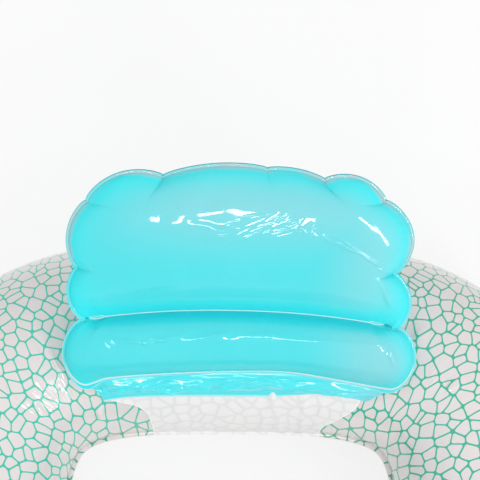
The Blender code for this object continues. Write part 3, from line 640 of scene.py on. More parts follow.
WELD_DROPS = [(-0.158, -0.1775, 0.0042), (0.172, 0.191, 0.0038)]
WELD_DROP_SHARE = 0.6
WELD_DROP_REACH = 0.0085
LOBE_FADE = 0.024
BACKREST_VALVE = (0.200, 0.643)
BACK_FLAT_LEVEL = -0.97 * SHELL_HALF_DEPTH
VALVE_FLAT_RADIUS = 0.034
VALVE_FLAT_BLEND = 0.022
BACK_HOLE_REACH = 0.026
BACK_HOLE_LOOPS = 10
BACK_HOLE_FLAT = 0.024
PASSAGE_HALF_DEPTH = 0.007
PASSAGE_BLEND = 0.007
BACK_FILM_CLEARANCE = 0.0008
RIM_CLEARANCE = 0.0012
BOLSTER_END_SWELL = 0.026
INNER_INSET = 0.05
# Points of the front and the back film: across, up the bolster and up the shell
FRONT_GRID = (470, 72, 250)
BACK_GRID = (150, 34, 84)
# Where the front film's points lie closer, for its small creases: two shares of the way, and how much
CROWDED_COLUMNS = (0.44, 0.80, 2.0)
CROWDED_SHELL_ROWS = (0.60, 0.85, 2.2)
CRUMPLE_CREASE_COUNT = 60
BOLSTER_CREASE_COUNT = 15
# Folds of the shell: sideways and up at both ends, half width and height
SHELL_FOLDS = [
    (-0.088, 0.2230, -0.055, 0.2200, 0.0100, 0.0016), (-0.052, 0.2240, -0.022, 0.2220, 0.0040, 0.0010),
    (-0.040, 0.2120, 0.004, 0.2080, 0.0090, 0.0018), (-0.030, 0.2200, 0.000, 0.2160, 0.0036, 0.0010),
    (0.084, 0.2140, 0.098, 0.2160, 0.0060, 0.0016), (0.098, 0.2080, 0.112, 0.2120, 0.0050, 0.0014),
    (0.112, 0.2080, 0.136, 0.1980, 0.0040, 0.0018), (0.132, 0.1990, 0.150, 0.1890, 0.0040, 0.0019),
    (0.186, 0.1640, 0.181, 0.1420, 0.0032, 0.0014), (0.184, 0.1440, 0.197, 0.1080, 0.0038, 0.0024),
    (-0.185, 0.1490, -0.120, 0.1620, 0.0060, 0.0008), (-0.120, 0.1330, 0.020, 0.1650, 0.0060, 0.0006),
]
# Sharp creases of the shell's right side, given in the same way
SHELL_CREASES = [
    (0.140, 0.1960, 0.163, 0.1830, 0.0026, 0.0012), (0.158, 0.1850, 0.186, 0.1640, 0.0026, 0.0013),
    (0.176, 0.1650, 0.197, 0.1540, 0.0022, 0.0011), (0.128, 0.2060, 0.146, 0.1930, 0.0024, 0.0010),
]
# Folds of the bolster, given in the same way
BOLSTER_FOLDS = [
    (-0.165, 0.0700, 0.200, 0.0640, 0.0100, 0.0016),
    (-0.150, 0.0640, -0.100, 0.0590, 0.0026, 0.0014), (-0.108, 0.0590, -0.062, 0.0680, 0.0022, 0.0013),
    (-0.098, 0.0650, -0.078, 0.0620, 0.0020, 0.0011), (-0.060, 0.0620, 0.000, 0.0720, 0.0024, 0.0012),
    (0.006, 0.0690, 0.070, 0.0690, 0.0026, 0.0009), (0.055, 0.0660, 0.190, 0.0580, 0.0026, 0.0011),
    (0.196, 0.0560, 0.207, 0.0260, 0.0044, 0.0026),
]
# Soft waves: height, length across, length up and seed
SHELL_WAVES = (0.0015, 0.030, 0.034, 5.1)
BOLSTER_WAVES = (0.0007, 0.017, 0.030, 2.2)
FILM_TURQUOISE_DEEP = (0.047, 0.672, 0.732)
FILM_TURQUOISE = (0.078, 0.700, 0.762)
# A paler turquoise for the shell's upper part and right side: a painted sheen of the white surround and of
# the light from the right
PAINTED_SHEEN_TURQUOISE = (0.235, 0.626, 0.682)
# A brighter, more saturated turquoise where the film dips to a weld: painted bounce light, standing in for
# light that passes through the films and reflects between them
PAINTED_BOUNCE_TURQUOISE = (0.043, 0.790, 0.845)
RIM_BEAD = (0.66, 0.76, 0.78)
RIM_FROST = (0.50, 0.56, 0.58)
LOW_EDGE = (0.50, 0.80, 0.82)
HIGH_EDGE = (0.030, 0.62, 0.66)

knee = tube_places(np.array(math.pi / 2), np.array(KNEE_RISE), KNEE_RADIUS)
backrest_foot = knee + FLAP_RUN * np.array([0, math.cos(FLAP_LEAN), math.sin(FLAP_LEAN)])
up_lean = np.array([0, math.cos(RECLINE), math.sin(RECLINE)])
facing = np.array([0, -math.sin(RECLINE), math.cos(RECLINE)])


def outline_point(shares):
    return np.array([shares[0] * BACKREST_WIDTH, shares[1] * BACKREST_HEIGHT])


def end_bow(x, up):
    fade = 1 - END_BOW_FADE * np.clip(up / BACKREST_HEIGHT, 0, 1)
    return END_BOW * (np.abs(x) / BOW_SPAN) ** BOW_POWER * fade


def lean_places(x, up, out):
    """Points of the backrest from sideways, up the lean, and out towards the sitter."""
    side = np.zeros(np.shape(x) + (3,))
    side[..., 0] = x
    return backrest_foot + side + up[..., None] * up_lean + (out + end_bow(x, up))[..., None] * facing


def lobe_arc(start, end, swell, roundness, shares):
    across = np.array([-(end - start)[1], (end - start)[0]])
    lift = swell * np.sin(np.pi * np.clip(shares, 0, 1)) ** roundness / np.linalg.norm(across)
    return start + (end - start) * shares[:, None] + across * lift[:, None]


def crowded_shares(count, low, high, gain):
    """Shares from 0 to 1, with steps closer by a factor between two of them, and near both ends."""
    fine = np.linspace(0, 1, 4001)
    density = 1 + (gain - 1) * fade_in_out(fine, low - 0.05, low, high, high + 0.05)
    density += 1.6 * np.exp(-fine / 0.025) + 1.6 * np.exp(-(1 - fine) / 0.025)
    total = np.concatenate([[0], np.cumsum((density[1:] + density[:-1]) / 2)])
    return np.interp(np.linspace(0, total[-1], count), total, fine)


def resample(places, line, wanted):
    """Points of a line, whose places are rising numbers, at the wanted places."""
    return np.stack([np.interp(wanted, places, line[:, k]) for k in (0, 1)], 1)


def lobe_line(first, last, begin, finish, shares):
    """Points at some shares of the way over several lobes, with each one's place in its own lobe."""
    outline, phase = [], []
    for lobe in range(first, last + 1):
        low = begin if lobe == first else 0.0
        high = finish if lobe == last else 1.0
        steps = low + (high - low) * (1 - np.cos(np.linspace(0, np.pi, 241))) / 2
        start, end = outline_point(SHELL_NOTCHES[lobe]), outline_point(SHELL_NOTCHES[lobe + 1])
        arc = lobe_arc(start, end, LOBE_SWELL[lobe], LOBE_ROUNDNESS, steps)
        skip = 1 if outline else 0
        outline.append(arc[skip:])
        phase.append(steps[skip:])
    outline, phase = np.concatenate(outline), np.concatenate(phase)
    reach = np.concatenate([[0], np.cumsum(np.linalg.norm(np.diff(outline, axis=0), axis=1))])
    goal = reach[-1] * shares
    return resample(reach, outline, goal), np.interp(goal, reach, phase)


def lower_weld_line(shares):
    """A smooth curve through the lower weld's points, by share of its width."""
    points = np.array([outline_point(p) for p in LOWER_WELD])
    goal = points[0, 0] + (points[-1, 0] - points[0, 0]) * shares
    k = np.clip(np.searchsorted(points[:, 0], goal, side="left") - 1, 0, len(points) - 2)
    t = (goal - points[k, 0]) / (points[k + 1, 0] - points[k, 0])
    before, after = points[np.maximum(k - 1, 0), 1], points[np.minimum(k + 2, len(points) - 1), 1]
    a, b = points[k, 1], points[k + 1, 1]
    value = a * (2 * t**3 - 3 * t**2 + 1) + b * (3 * t**2 - 2 * t**3)
    value += (b - before) / 2 * (t**3 - 2 * t**2 + t) + (after - a) / 2 * (t**3 - t**2)
    return np.stack([goal, value], 1)


def quilt_line(shares, edge):
    left, right = outline_point(SHELL_NOTCHES[0]), outline_point(SHELL_NOTCHES[-1])
    line = left + (right - left) * shares[:, None]
    half = QUILT_WELD_WIDTH / 2
    for near, far, height in WELD_DROPS:
        beside = (line[:, 0] - (near + far) / 2) / WELD_DROP_REACH
        half = half + WELD_DROP_SHARE * height * np.exp(-(beside**4))
    line[:, 1] += QUILT_WELD_ARCH * 4 * shares * (1 - shares) + edge * half
    return line


def smoothed(line, spread=0.028):
    """An even line without its notches: a running mean that keeps both ends where they are."""
    step = np.linalg.norm(line[1] - line[0])
    reach = min(int(3 * spread / step), len(line) - 2)
    weights = np.exp(-0.5 * (np.arange(-reach, reach + 1) * step / spread) ** 2)
    before, after = 2 * line[0] - line[reach:0:-1], 2 * line[-1] - line[-2 : -reach - 2 : -1]
    longer = np.concatenate([before, line, after])
    return np.stack([np.convolve(longer[:, k], weights / weights.sum(), "valid") for k in (0, 1)], 1)


def patch(bottom, top, left, right, u, v):
    """Points of a patch between four lines that meet at its corners."""
    u, v = u[None, :, None], v[:, None, None]
    across = (1 - v) * bottom[None] + v * top[None]
    along = (1 - u) * left[:, None] + u * right[:, None]
    corners = (1 - u) * ((1 - v) * bottom[0] + v * top[0]) + u * ((1 - v) * bottom[-1] + v * top[-1])
    return across + along - corners


def notch_crease(phase, distance, loss=0.10, reach=0.009):
    """Share of the height left beside a notch, where the film is drawn in."""
    closed = 1 - np.sin(np.pi * np.clip(phase, 0, 1)) ** 0.5
    return 1 - loss * closed * np.exp(-((distance / reach) ** 2))


def edge_puckers(along, distance, seed, height, wavelength=0.013, reach=0.011):
    """Small folds that stand across a weld and fade away from it."""
    near = np.exp(-((distance / reach) ** 2)) * np.clip(distance / 0.006, 0, 1)
    patchy = np.clip(0.5 + 1.4 * np.sin(along * 31 + seed) * np.sin(along * 53 + 2 * seed), 0, 1)
    return height * ripple(along, wavelength, seed) * near * patchy


def ridge_distance(x, up, x0, up0, x1, up1):
    """Distance from a ridge between two points, and the share of the way along it."""
    run = np.array([x1 - x0, up1 - up0])
    near = np.clip(((x - x0) * run[0] + (up - up0) * run[1]) / (run @ run), 0, 1)
    return np.hypot(x - x0 - near * run[0], up - up0 - near * run[1]), near


def crease_height(x, up, creases):
    """Height of sharp ridges with even flanks, each given as for fold_height. The highest one counts."""
    total = np.zeros(np.shape(x))
    for *ends, half_width, height in creases:
        distance, near = ridge_distance(x, up, *ends)
        roof = np.maximum(0, 1.1 - np.sqrt((distance / half_width) ** 2 + 0.01))
        total = np.maximum(total, height * roof * np.minimum(1, 6 * near * (1 - near)))
    return total


def fold_height(x, up, folds):
    """Height of rounded ridges, each given by its two ends, its half width and its height."""
    total = np.zeros(np.shape(x))
    for *ends, half_width, height in folds:
        distance, near = ridge_distance(x, up, *ends)
        total += height * np.exp(-((distance / half_width) ** 2)) * (0.15 + 3.4 * near * (1 - near)) ** 0.7
    return total


def ridge_ends(x, up, heading, length):
    """The two ends of a ridge from its middle, its direction and its length."""
    step = np.array([math.cos(heading), math.sin(heading)]) * length / 2
    return x - step[0], up - step[1], x + step[0], up + step[1]


def crumple_creases():
    """Small creases over the middle of the shell, most of them running up to the right.
    Their flanks are as steep as it takes to mirror the light there, so steeper lower down."""
    draw = np.random.RandomState(23)
    creases = []
    for _ in range(CRUMPLE_CREASE_COUNT):
        along, aside = draw.uniform(-1, 1), draw.normal(0, 0.45)
        x = 0.058 + 0.066 * along - 0.010 * aside
        up = 0.2225 + 0.012 * along + 0.0165 * aside * (1 - 0.5 * along**2)
        heading = math.radians(draw.normal(27, 12))
        ends = ridge_ends(x, up, heading, draw.uniform(0.012, 0.034))
        width = draw.uniform(0.0017, 0.0027)
        slope = max(0.05, 0.09 + 3.7 * (0.2365 - up)) * draw.uniform(0.85, 1.35)
        creases.append((*ends, width, width * slope))
    return creases


def bolster_creases():
    """Small creases near the bolster's left end, running mostly sideways."""
    draw = np.random.RandomState(7)
    creases = []
    for _ in range(BOLSTER_CREASE_COUNT):
        x, up = draw.uniform(-0.158, -0.092), draw.uniform(0.0560, 0.0690)
        heading = math.radians(draw.normal(-8, 26))
        ends = ridge_ends(x, up, heading, 2 * draw.uniform(0.004, 0.010))
        width = draw.uniform(0.0016, 0.0024)
        creases.append((*ends, width, width * draw.uniform(0.20, 0.42)))
    return creases


def film_waves(x, up, height, long, tall, seed):
    """Soft uneven waves that lean a little to the right."""
    flat = np.stack([(x - 0.3 * up) / long, up / tall], -1).reshape(-1, 2)
    return height * np.array([noise.noise((a, b, seed)) for a, b in flat]).reshape(x.shape)


def crown_profile(v, power, roundness):
    """Depth over a chamber from weld to weld: 0 at both, and 1 halfway."""
    return np.maximum(0, 1 - np.abs(2 * v - 1) ** power) ** roundness


def bolster_grid(u, passage, count, front):
    """Sideways, up and half depth over the bolster, from the lower weld to the cross weld."""
    v = (1 - np.cos(np.linspace(0, np.pi, count))) / 2
    bottom, seam = lower_weld_line(u), quilt_line(u, -1)
    left = lobe_arc(bottom[0], seam[0], BOLSTER_END_SWELL, 0.5, v)
    right = lobe_arc(seam[-1], bottom[-1], BOLSTER_END_SWELL, 0.5, 1 - v)
    bolster = patch(bottom, seam, left, right, u, v)
    x, up = bolster[..., 0], bolster[..., 1]
    roundness = CROWN_ROUNDNESS + 0.16 * np.exp(-((v / 0.20) ** 2))
    roundness += (BOLSTER_TOP_ROUNDNESS - roundness) * smooth_step(v, 0.40, 0.72)
    v = v[:, None]
    depth = crown_profile(v, 2, roundness[:, None]) * crown_profile(u, BOLSTER_END_POWER, END_ROUNDNESS)
    depth = np.hypot(BOLSTER_HALF_DEPTH * depth, passage * np.exp(-(((1 - v) / 0.22) ** 2)))
    tall = np.linalg.norm(bottom - seam, axis=1)
    depth += edge_puckers(x, v * tall, 1.3, 0.0009)
    depth += edge_puckers(x, (1 - v) * tall, 4.1, 0.0006)
    if front:
        depth += fold_height(x, up, BOLSTER_FOLDS) + crease_height(x, up, bolster_creases())
        away = smooth_step(np.minimum(v, 1 - v), 0.0, 0.25) * smooth_step(0.19 - np.abs(x), 0.0, 0.03)
        depth += film_waves(x, up, *BOLSTER_WAVES) * away * smooth_step(0.10 - x, 0.0, 0.10)
    return x, up, depth


def shell_grid(top, top_phase, u, passage, count, front):
    """Sideways, up and half depth over the shell, from the cross weld to the top, and how far each point
    lies from the outline."""
    low, high, gain = CROWDED_SHELL_ROWS
    v, even = crowded_shares(count, low, high, gain if front else 1.0), np.linspace(0, 1, count)
    seam = quilt_line(u, 1)
    left, left_phase = lobe_line(0, 2, 0.0, 0.5, even)
    right, right_phase = lobe_line(5, 7, 0.5, 1.0, even)
    right, right_phase = right[::-1], right_phase[::-1]
    plain_top = smoothed(top)
    plain_left, left, plain_right, right = (
        resample(even, line, v) for line in (smoothed(left), left, smoothed(right), right)
    )
    left_phase, right_phase = (np.interp(v, even, phase)[:, None] for phase in (left_phase, right_phase))
    plain_left[0] = left[0] = seam[0]
    plain_right[0] = right[0] = seam[-1]
    shell = patch(seam, plain_top, plain_left, plain_right, u, v)
    v = v[:, None]
    high = np.linalg.norm(top - seam, axis=1)
    wide = np.linalg.norm(right - left, axis=1)[:, None]
    from_top, from_seam, from_left, from_right = (1 - v) * high, v * high, u * wide, (1 - u) * wide
    for lobed, plain, distance in (
        (top[None], plain_top[None], from_top), (left[:, None], plain_left[:, None], from_left),
        (right[:, None], plain_right[:, None], from_right),
    ):
        shell = shell + (lobed - plain) * np.exp(-((distance / LOBE_FADE) ** 2))[..., None]
    x, up = shell[..., 0], shell[..., 1]
    roundness = CROWN_ROUNDNESS + 0.20 * np.exp(-((v / 0.08) ** 2))
    depth = crown_profile(v, SHELL_CROWN_POWER, roundness) * crown_profile(u, SHELL_END_POWER, END_ROUNDNESS)
    depth = SHELL_HALF_DEPTH * depth * notch_crease(top_phase, from_top)
    depth *= notch_crease(left_phase, from_left) * notch_crease(right_phase, from_right)
    depth = np.hypot(depth, passage * np.exp(-((v / 0.10) ** 2)))
    for along, distance, seed, height in (
        (x, from_seam, 6.7, 0.0006), (x + 0.3, from_top, 8.2, 0.0007),
        (up, from_left, 2.9, 0.0007), (up, from_right, 5.5, 0.0007),
    ):
        depth += edge_puckers(along, distance, seed, height)
    inset = np.minimum(from_top, np.minimum(from_left, from_right))
    if front:
        depth += fold_height(x, up, SHELL_FOLDS) + crease_height(x, up, SHELL_CREASES + crumple_creases())
        away = smooth_step(inset, 0.004, 0.030) * smooth_step(up, 0.10, 0.17) * smooth_step(x, -0.102, -0.072)
        away *= (1 - 0.85 * smooth_step(x, 0.105, 0.150)) * (1 - 0.6 * smooth_step(x, -0.010, 0.020))
        depth += film_waves(x, up, *SHELL_WAVES) * away
    return x, up, depth, inset


def backrest_grid(columns, bolster_rows, shell_rows, front):
    """Sideways, up, half depth and distance from the outline, from the lower weld to the top."""
    low, high, gain = CROWDED_COLUMNS
    top, top_phase = lobe_line(2, 5, 0.5, 0.5, crowded_shares(columns, low, high, gain if front else 1.0))
    u = (top[:, 0] - top[0, 0]) / (top[-1, 0] - top[0, 0])
    seam_x = quilt_line(u, 0)[:, 0]
    beyond = np.where(u < 0.5, QUILT_WELD_ENDS[0] - seam_x, seam_x - QUILT_WELD_ENDS[1])
    passage = np.clip(beyond / PASSAGE_BLEND, 0, 1) * np.clip(np.minimum(u, 1 - u) / 0.02, 0, 1) ** 0.5
    passage *= PASSAGE_HALF_DEPTH
    bolster = bolster_grid(u, passage, bolster_rows, front)
    *shell, inset = shell_grid(top, top_phase, u, passage, shell_rows, front)
    x, up, depth = (np.concatenate(parts) for parts in zip(bolster, shell))
    inset = np.concatenate([np.full(bolster[0].shape, INNER_INSET), inset])
    welded = np.zeros(depth.shape, bool)
    sealed = x[bolster_rows - 1:bolster_rows + 1]
    welded[bolster_rows - 1:bolster_rows + 1] = (sealed > QUILT_WELD_ENDS[0]) & (sealed < QUILT_WELD_ENDS[1])
    welded[[0, -1]] = welded[:, [0, -1]] = True
    return x, up, np.where(welded, 0.0, np.maximum(depth, 0.0)), inset


def rim_order(rows, columns):
    """Row and column of each point round the outline, anticlockwise seen from the sitter."""
    loop = [(0, c) for c in range(columns)] + [(r, columns - 1) for r in range(1, rows)]
    loop += [(rows - 1, c) for c in range(columns - 2, -1, -1)] + [(r, 0) for r in range(rows - 2, 0, -1)]
    return np.array(loop)


def out_of_ring(places, clearance):
    """Moves points that lie inside the ring's tube out along the backrest's facing side."""
    line = ring_plan(np.radians(np.arange(0, 181, 0.5)))
    line = np.concatenate([line, np.full((len(line), 1), TUBE_RADIUS)], 1)
    for _ in range(14):
        flat = places.reshape(-1, 3)
        near = np.array([np.min(np.sum((line - p) ** 2, 1)) for p in flat])
        short = TUBE_RADIUS + clearance - np.sqrt(near)
        if short.max() <= 0:
            break
        flat += np.maximum(short, 0)[:, None] * facing
        places = flat.reshape(places.shape)
    return places


def rim_widths(line, outward):
    """Width of the flat rim at each point of the outline: widest below the two lower corners."""
    low = smooth_step(0.050 - line[:, 1], 0.0, 0.050)
    aside = smooth_step(np.abs(line[:, 0] - 0.004), 0.168, 0.190)
    share = running_mean(low * aside * smooth_step(-outward[:, 1], 0.80, 0.97), 8, "wrap")
    return RIM_WIDTH + (np.where(line[:, 0] < 0, *CORNER_RIM_WIDTHS) - RIM_WIDTH) * share


def outline_directions(line, smoothings):
    """Directions that point out of the backrest's outline at each of its points, evened out."""
    edges = np.roll(line, -1, 0) - line
    outward = np.stack([edges[:, 1], -edges[:, 0]], 1)
    outward /= np.linalg.norm(outward, axis=1, keepdims=True) + 1e-12
    outward = outward + np.roll(outward, 1, 0)
    for _ in range(smoothings):
        outward = outward + 0.5 * (np.roll(outward, 1, 0) + np.roll(outward, -1, 0))
        outward /= np.linalg.norm(outward, axis=1, keepdims=True)
    return outward


def back_valve_hole(x, up, out, faces):
    """Flat places and points of the loops that close in on the back film's valve, and the faces."""
    valve = outline_point(BACKREST_VALVE)
    flat = np.stack([x, up], -1) - valve
    border, loops, faces = valve_hole(flat, faces, BACK_HOLE_REACH, BACK_HOLE_LOOPS)
    x, up, out, flat = (values[border[:, 0], border[:, 1]] for values in (x, up, out, flat))
    over = out - BACK_FLAT_LEVEL + end_bow(x, up)
    share = np.linalg.norm(loops, axis=-1) - BACK_HOLE_FLAT
    share = np.clip(share / np.maximum(np.hypot(flat[:, 0], flat[:, 1]) - BACK_HOLE_FLAT, 1e-6), 0, 1)
    across, high = loops[..., 0] + valve[0], loops[..., 1] + valve[1]
    level = BACK_FLAT_LEVEL - end_bow(across, high) + over * share
    flat_places = np.stack([across.ravel(), high.ravel()], 1)
    return flat_places, lean_places(across, high, level).reshape(-1, 3), faces


def backrest_film(name, front):
    """One of the backrest's films: its chambers, the hole for the valve in the back one, and the rim."""
    x, up, depth, inset = backrest_grid(*(FRONT_GRID if front else BACK_GRID), front)
    side = 1.0 if front else -1.0
    out = side * (depth + RIM_OUT)
    if not front:
        distance = np.linalg.norm(np.stack([x, up], -1) - outline_point(BACKREST_VALVE), axis=-1)
        level = BACK_FLAT_LEVEL - end_bow(x, up)
        full = smooth_step(distance, VALVE_FLAT_RADIUS, VALVE_FLAT_RADIUS + VALVE_FLAT_BLEND)
        out = level + (out - level) * full
    places = lean_places(x, up, out)
    if not front:
        places = out_of_ring(places, BACK_FILM_CLEARANCE)
    rows, columns = x.shape
    faces = grid_faces(rows, columns, flip=front)
    flats, points = [np.stack([x.ravel(), up.ravel()], 1)], [places.reshape(-1, 3)]
    if not front:
        hole_flats, hole_points, faces = back_valve_hole(x, up, out, faces)
        flats.append(hole_flats)
        points.append(hole_points)
    added = sum(len(p) for p in points) - rows * columns

    loop = rim_order(rows, columns)
    line = np.stack([x[loop[:, 0], loop[:, 1]], up[loop[:, 0], loop[:, 1]]], 1)
    outward = outline_directions(line, 3 if front else 2)
    widths = rim_widths(line, outward)
    inner = loop[:, 0] * columns + loop[:, 1]
    marks = {
        "fullness": [(depth / SHELL_HALF_DEPTH).ravel(), np.ones(added)],
        "inset": [inset.ravel(), np.full(added, INNER_INSET)],
        "bead": [np.zeros(rows * columns + added)], "rim": [np.zeros(rows * columns + added)],
    }
    marks["bead"][0][inner] = 0.5
    faces = [faces]
    for width, lift, bead, rim in RIM_LOOPS:
        share = widths - RIM_EDGE_STEP if width is None else (width or widths) * np.ones(len(line))
        step = line + outward * share[:, None]
        ring = lean_places(step[:, 0], step[:, 1], np.full(len(step), side * (RIM_OUT + lift)))
        here = sum(len(p) for p in points) + np.arange(len(line))
        faces.append(band_faces(inner, here) if front else band_faces(inner, here)[:, ::-1])
        points.append(out_of_ring(ring, RIM_CLEARANCE + (FILM if front else 0)))
        flats.append(step)
        for mark, value in (("fullness", 0.5), ("inset", -share), ("bead", bead), ("rim", rim)):
            marks[mark].append(value * np.ones(len(line)))
        inner = here
    flats = np.concatenate(flats)
    attributes = {"across": flats[:, 0], "up": flats[:, 1]}
    attributes.update((mark, np.concatenate(values)) for mark, values in marks.items())
    return film_object(name, np.concatenate(points), np.concatenate(faces), attributes)


def turquoise_film_material(name, crumple, glow, glossy_from):
    """Glossy turquoise film: brighter and more saturated where it dips to a weld, painted bounce light; paler
    over the upper shell and the right side, a painted sheen; pale along the weld round the rim.
    Its glow is painted light. Its gloss is a coat that begins where the film stands off its weld, from some
    height up."""
    material, tree, shader = vinyl_material(name, (0.08, 0.74, 0.80), 0.35)
    across, up = surface_value(tree, "across"), surface_value(tree, "up")
    place = place_vector(tree, across, up)
    fullness = surface_value(tree, "fullness")

    def tinted(film, share, strength, colour):
        return blend_colour(tree, calculate(tree, "MULTIPLY", share, strength), film, colour)

    film = blend_colour(tree, cloudy(tree, place, 9.0, 2.0), FILM_TURQUOISE_DEEP, FILM_TURQUOISE)
    # Painted sheen: paler over the shell's upper part, less so towards the left, and over the right side
    upper = ease_between(tree, up, 0.15, 0.27)
    upper = calculate(tree, "MULTIPLY", upper, ease_between(tree, across, -0.17, -0.03, 0.40, 1.0))
    painted_sheen = calculate(tree, "MAXIMUM", upper, ease_between(tree, across, 0.08, 0.20))
    film = tinted(film, painted_sheen, 0.9, PAINTED_SHEEN_TURQUOISE)
    # Painted bounce light: a brighter, more saturated turquoise where the film dips towards a weld
    film = tinted(film, ease_between(tree, fullness, 0.15, 0.95, 1.0, 0.0), 0.85, PAINTED_BOUNCE_TURQUOISE)
    paling = ease_between(tree, up, 0.006, 0.026, 1.0, 0.12)
    film = tinted(film, surface_value(tree, "bead"), paling, RIM_BEAD)
    patchy = ease_between(tree, cloudy(tree, place, 22.0, 1.0), 0.35, 0.62, 0.25, 1.0)
    frosted = ease_between(tree, surface_value(tree, "inset"), -0.0010, 0.0050, 1.0, 0.0)
    frosted = calculate(tree, "MULTIPLY", frosted, patchy)
    frosted = calculate(tree, "MULTIPLY", frosted, ease_between(tree, up, 0.15, 0.18))
    film = tinted(film, frosted, 0.75, RIM_FROST)
    edge_tint = blend_colour(tree, ease_between(tree, up, 0.05, 0.14), LOW_EDGE, HIGH_EDGE)
    film = blend_colour(tree, ease_between(tree, surface_value(tree, "rim"), 0.5, 0.95), film, edge_tint)
    gloss = ease_between(tree, fullness, 0.10, 0.60)
    gloss = calculate(tree, "MULTIPLY", gloss, ease_between(tree, up, glossy_from, glossy_from + 0.022))
    # The emission is a painted glow that stands in for light passing through the film
    set_inputs(
        tree, shader, Base_Color=film, Normal=film_normal(tree, place, 11.0, 34.0, crumple, 0.0012),
        Coat_Weight=gloss, Coat_Roughness=0.06, Specular_IOR_Level=0.08,
        Emission_Color=(0.1, 0.9, 1.0), Emission_Strength=glow,
    )
    return material


turquoise_film = turquoise_film_material("turquoise_film", 0.04, 0.0, 0.012)
for name, front in (("backrest_front_film", True), ("backrest_back_film", False)):
    film = backrest_film(name, front)
    film.data.materials.append(turquoise_film)
    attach(film, "backrest")
    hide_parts("backrest_front_sheet" if front else "backrest_back_sheet")

# The hinge flap. A strip of the same turquoise film is welded to the panel at its foot and caught in
# the backrest's lower weld at its head. It is slack, so it lies in small glossy folds.
FLAP_ROWS = 60
FLAP_COLUMNS = 420
FLAP_FOOT_RISE = 0.0876 / TUBE_RADIUS
FLAP_FOOT_ENDS = (-0.410, 0.435)
FLAP_HEAD_ENDS = (-0.4525, 0.4925)
FLAP_FOOT_LIFTS = (0.026, 0.082)
FLAP_BILLOW = 0.007
FLAP_FOLD_COUNT = 120
FLAP_RIPPLE = 0.0012
# The strip's free part: how far down from the foot's edge it begins, and its length
FLAP_FREE_START = 0.008
FLAP_FREE_LENGTH = 0.040


def flap_folds():
    """Short level ridges in the slack strip, by distance sideways and down."""
    draw = np.random.RandomState(31)
    folds = []
    for _ in range(FLAP_FOLD_COUNT):
        x, down = draw.uniform(-0.17, 0.19), draw.uniform(0.010, 0.046)
        heading = math.radians(draw.normal(0, 22))
        ends = ridge_ends(x, down, heading, draw.uniform(0.010, 0.044))
        width = draw.uniform(0.0018, 0.0042)
        folds.append((*ends, width, width * draw.uniform(0.50, 0.95) * draw.choice([1, -1])))
    return folds


def hinge_flap():
    """The strip, from its welded foot over the knee and up to the backrest's lower weld."""
    share = np.linspace(0, 1, FLAP_COLUMNS)
    foot_x = (FLAP_FOOT_ENDS[0] + (FLAP_FOOT_ENDS[1] - FLAP_FOOT_ENDS[0]) * share) * BACKREST_WIDTH
    head = FLAP_HEAD_ENDS[0] + (FLAP_HEAD_ENDS[1] - FLAP_HEAD_ENDS[0]) * share
    foot_rise = FLAP_FOOT_RISE + FLAP_FOOT_LIFTS[0] * smooth_step(-foot_x, 0.07, 0.17)
    foot_rise += FLAP_FOOT_LIFTS[1] * smooth_step(foot_x, 0.04, 0.15)
    turn = back_turns(foot_x, foot_rise, KNEE_RADIUS)
    foot = tube_places(turn, foot_rise, KNEE_RADIUS)
    bend = tube_places(turn, np.full(FLAP_COLUMNS, KNEE_RISE), KNEE_RADIUS)
    weld = lower_weld_line((head - LOWER_WELD[0][0]) / (LOWER_WELD[-1][0] - LOWER_WELD[0][0]))
    level = np.full(FLAP_COLUMNS, FILM / 2)
    mouth = lean_places(weld[:, 0], weld[:, 1] - RIM_WIDTH - 0.0016, level)
    top = lean_places(weld[:, 0], weld[:, 1] - FILM_GAP, level)
    free = np.linspace(0, 1, FLAP_ROWS - 4)
    middle = bend + (mouth - bend) * free[:, None, None]
    places = np.concatenate([foot[None], (foot + bend)[None] / 2, middle, (mouth + top)[None] / 2, top[None]])
    down = FLAP_FREE_START + FLAP_FREE_LENGTH * free
    down = np.concatenate([[0, FLAP_FREE_START / 2], down, down[-1] + [0.003, 0.006]])[:, None]
    slack = np.concatenate([[0, 0], np.sin(np.pi * free) ** 0.7, [0, 0]])[:, None]
    normal = np.cross((mouth - bend), np.gradient(bend, axis=0))
    normal /= np.linalg.norm(normal, axis=1, keepdims=True)
    normal *= np.sign(-normal[:, 1:2])
    ones = np.ones((FLAP_ROWS, FLAP_COLUMNS))
    across, along = ones * foot_x, ones * down
    fold = fold_height(across, along, flap_folds()) * slack
    fold += FLAP_RIPPLE * np.sin(along * 330 + 4 * np.sin(across * 23)) * slack
    ends = smooth_step(np.minimum(share, 1 - share), 0, 0.10)
    part = np.clip((along - FLAP_FREE_START) / FLAP_FREE_LENGTH, 0, 1)
    fold += FLAP_BILLOW * np.sin(np.pi * part) ** 0.8 * ends
    places = places + fold[..., None] * normal
    attributes = {
        "across": across, "up": -along, "fullness": 0.8 * ones, "rim": 0 * ones, "inset": INNER_INSET * ones,
        "bead": 0.8 * (down < 0.0015) * ones,
    }
    return film_object("hinge_flap_film", places.reshape(-1, 3), grid_faces(*ones.shape), attributes)


flap = hinge_flap()
# The flap's film gets a faint turquoise glow, painted light for the light that passes through it
flap.data.materials.append(turquoise_film_material("flap_film", 0.12, 0.09, -1.0))
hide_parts("backrest_flap")
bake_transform(flap)

# The weld across the backrest. The two films are fused along a narrow line that ends in a drop-shaped
# loop on each side, which keeps the weld from tearing, and it shows as a pale bead.
BEAD_HALF_WIDTH = 0.0011
BEAD_HEIGHT = 0.0009
LOOP_BEAD_SHARE = 0.6
# The bead's cross section: shares of its half width and of its height
BEAD_SECTION = ((-1, 0.0), (-0.6, 0.8), (0, 1.0), (0.6, 0.8), (1, 0.0))
BEAD_BLUE = (0.50, 0.80, 0.82)
BEAD_WHITE = (0.72, 0.88, 0.89)
LOOP_FILL = (0.20, 0.76, 0.80)


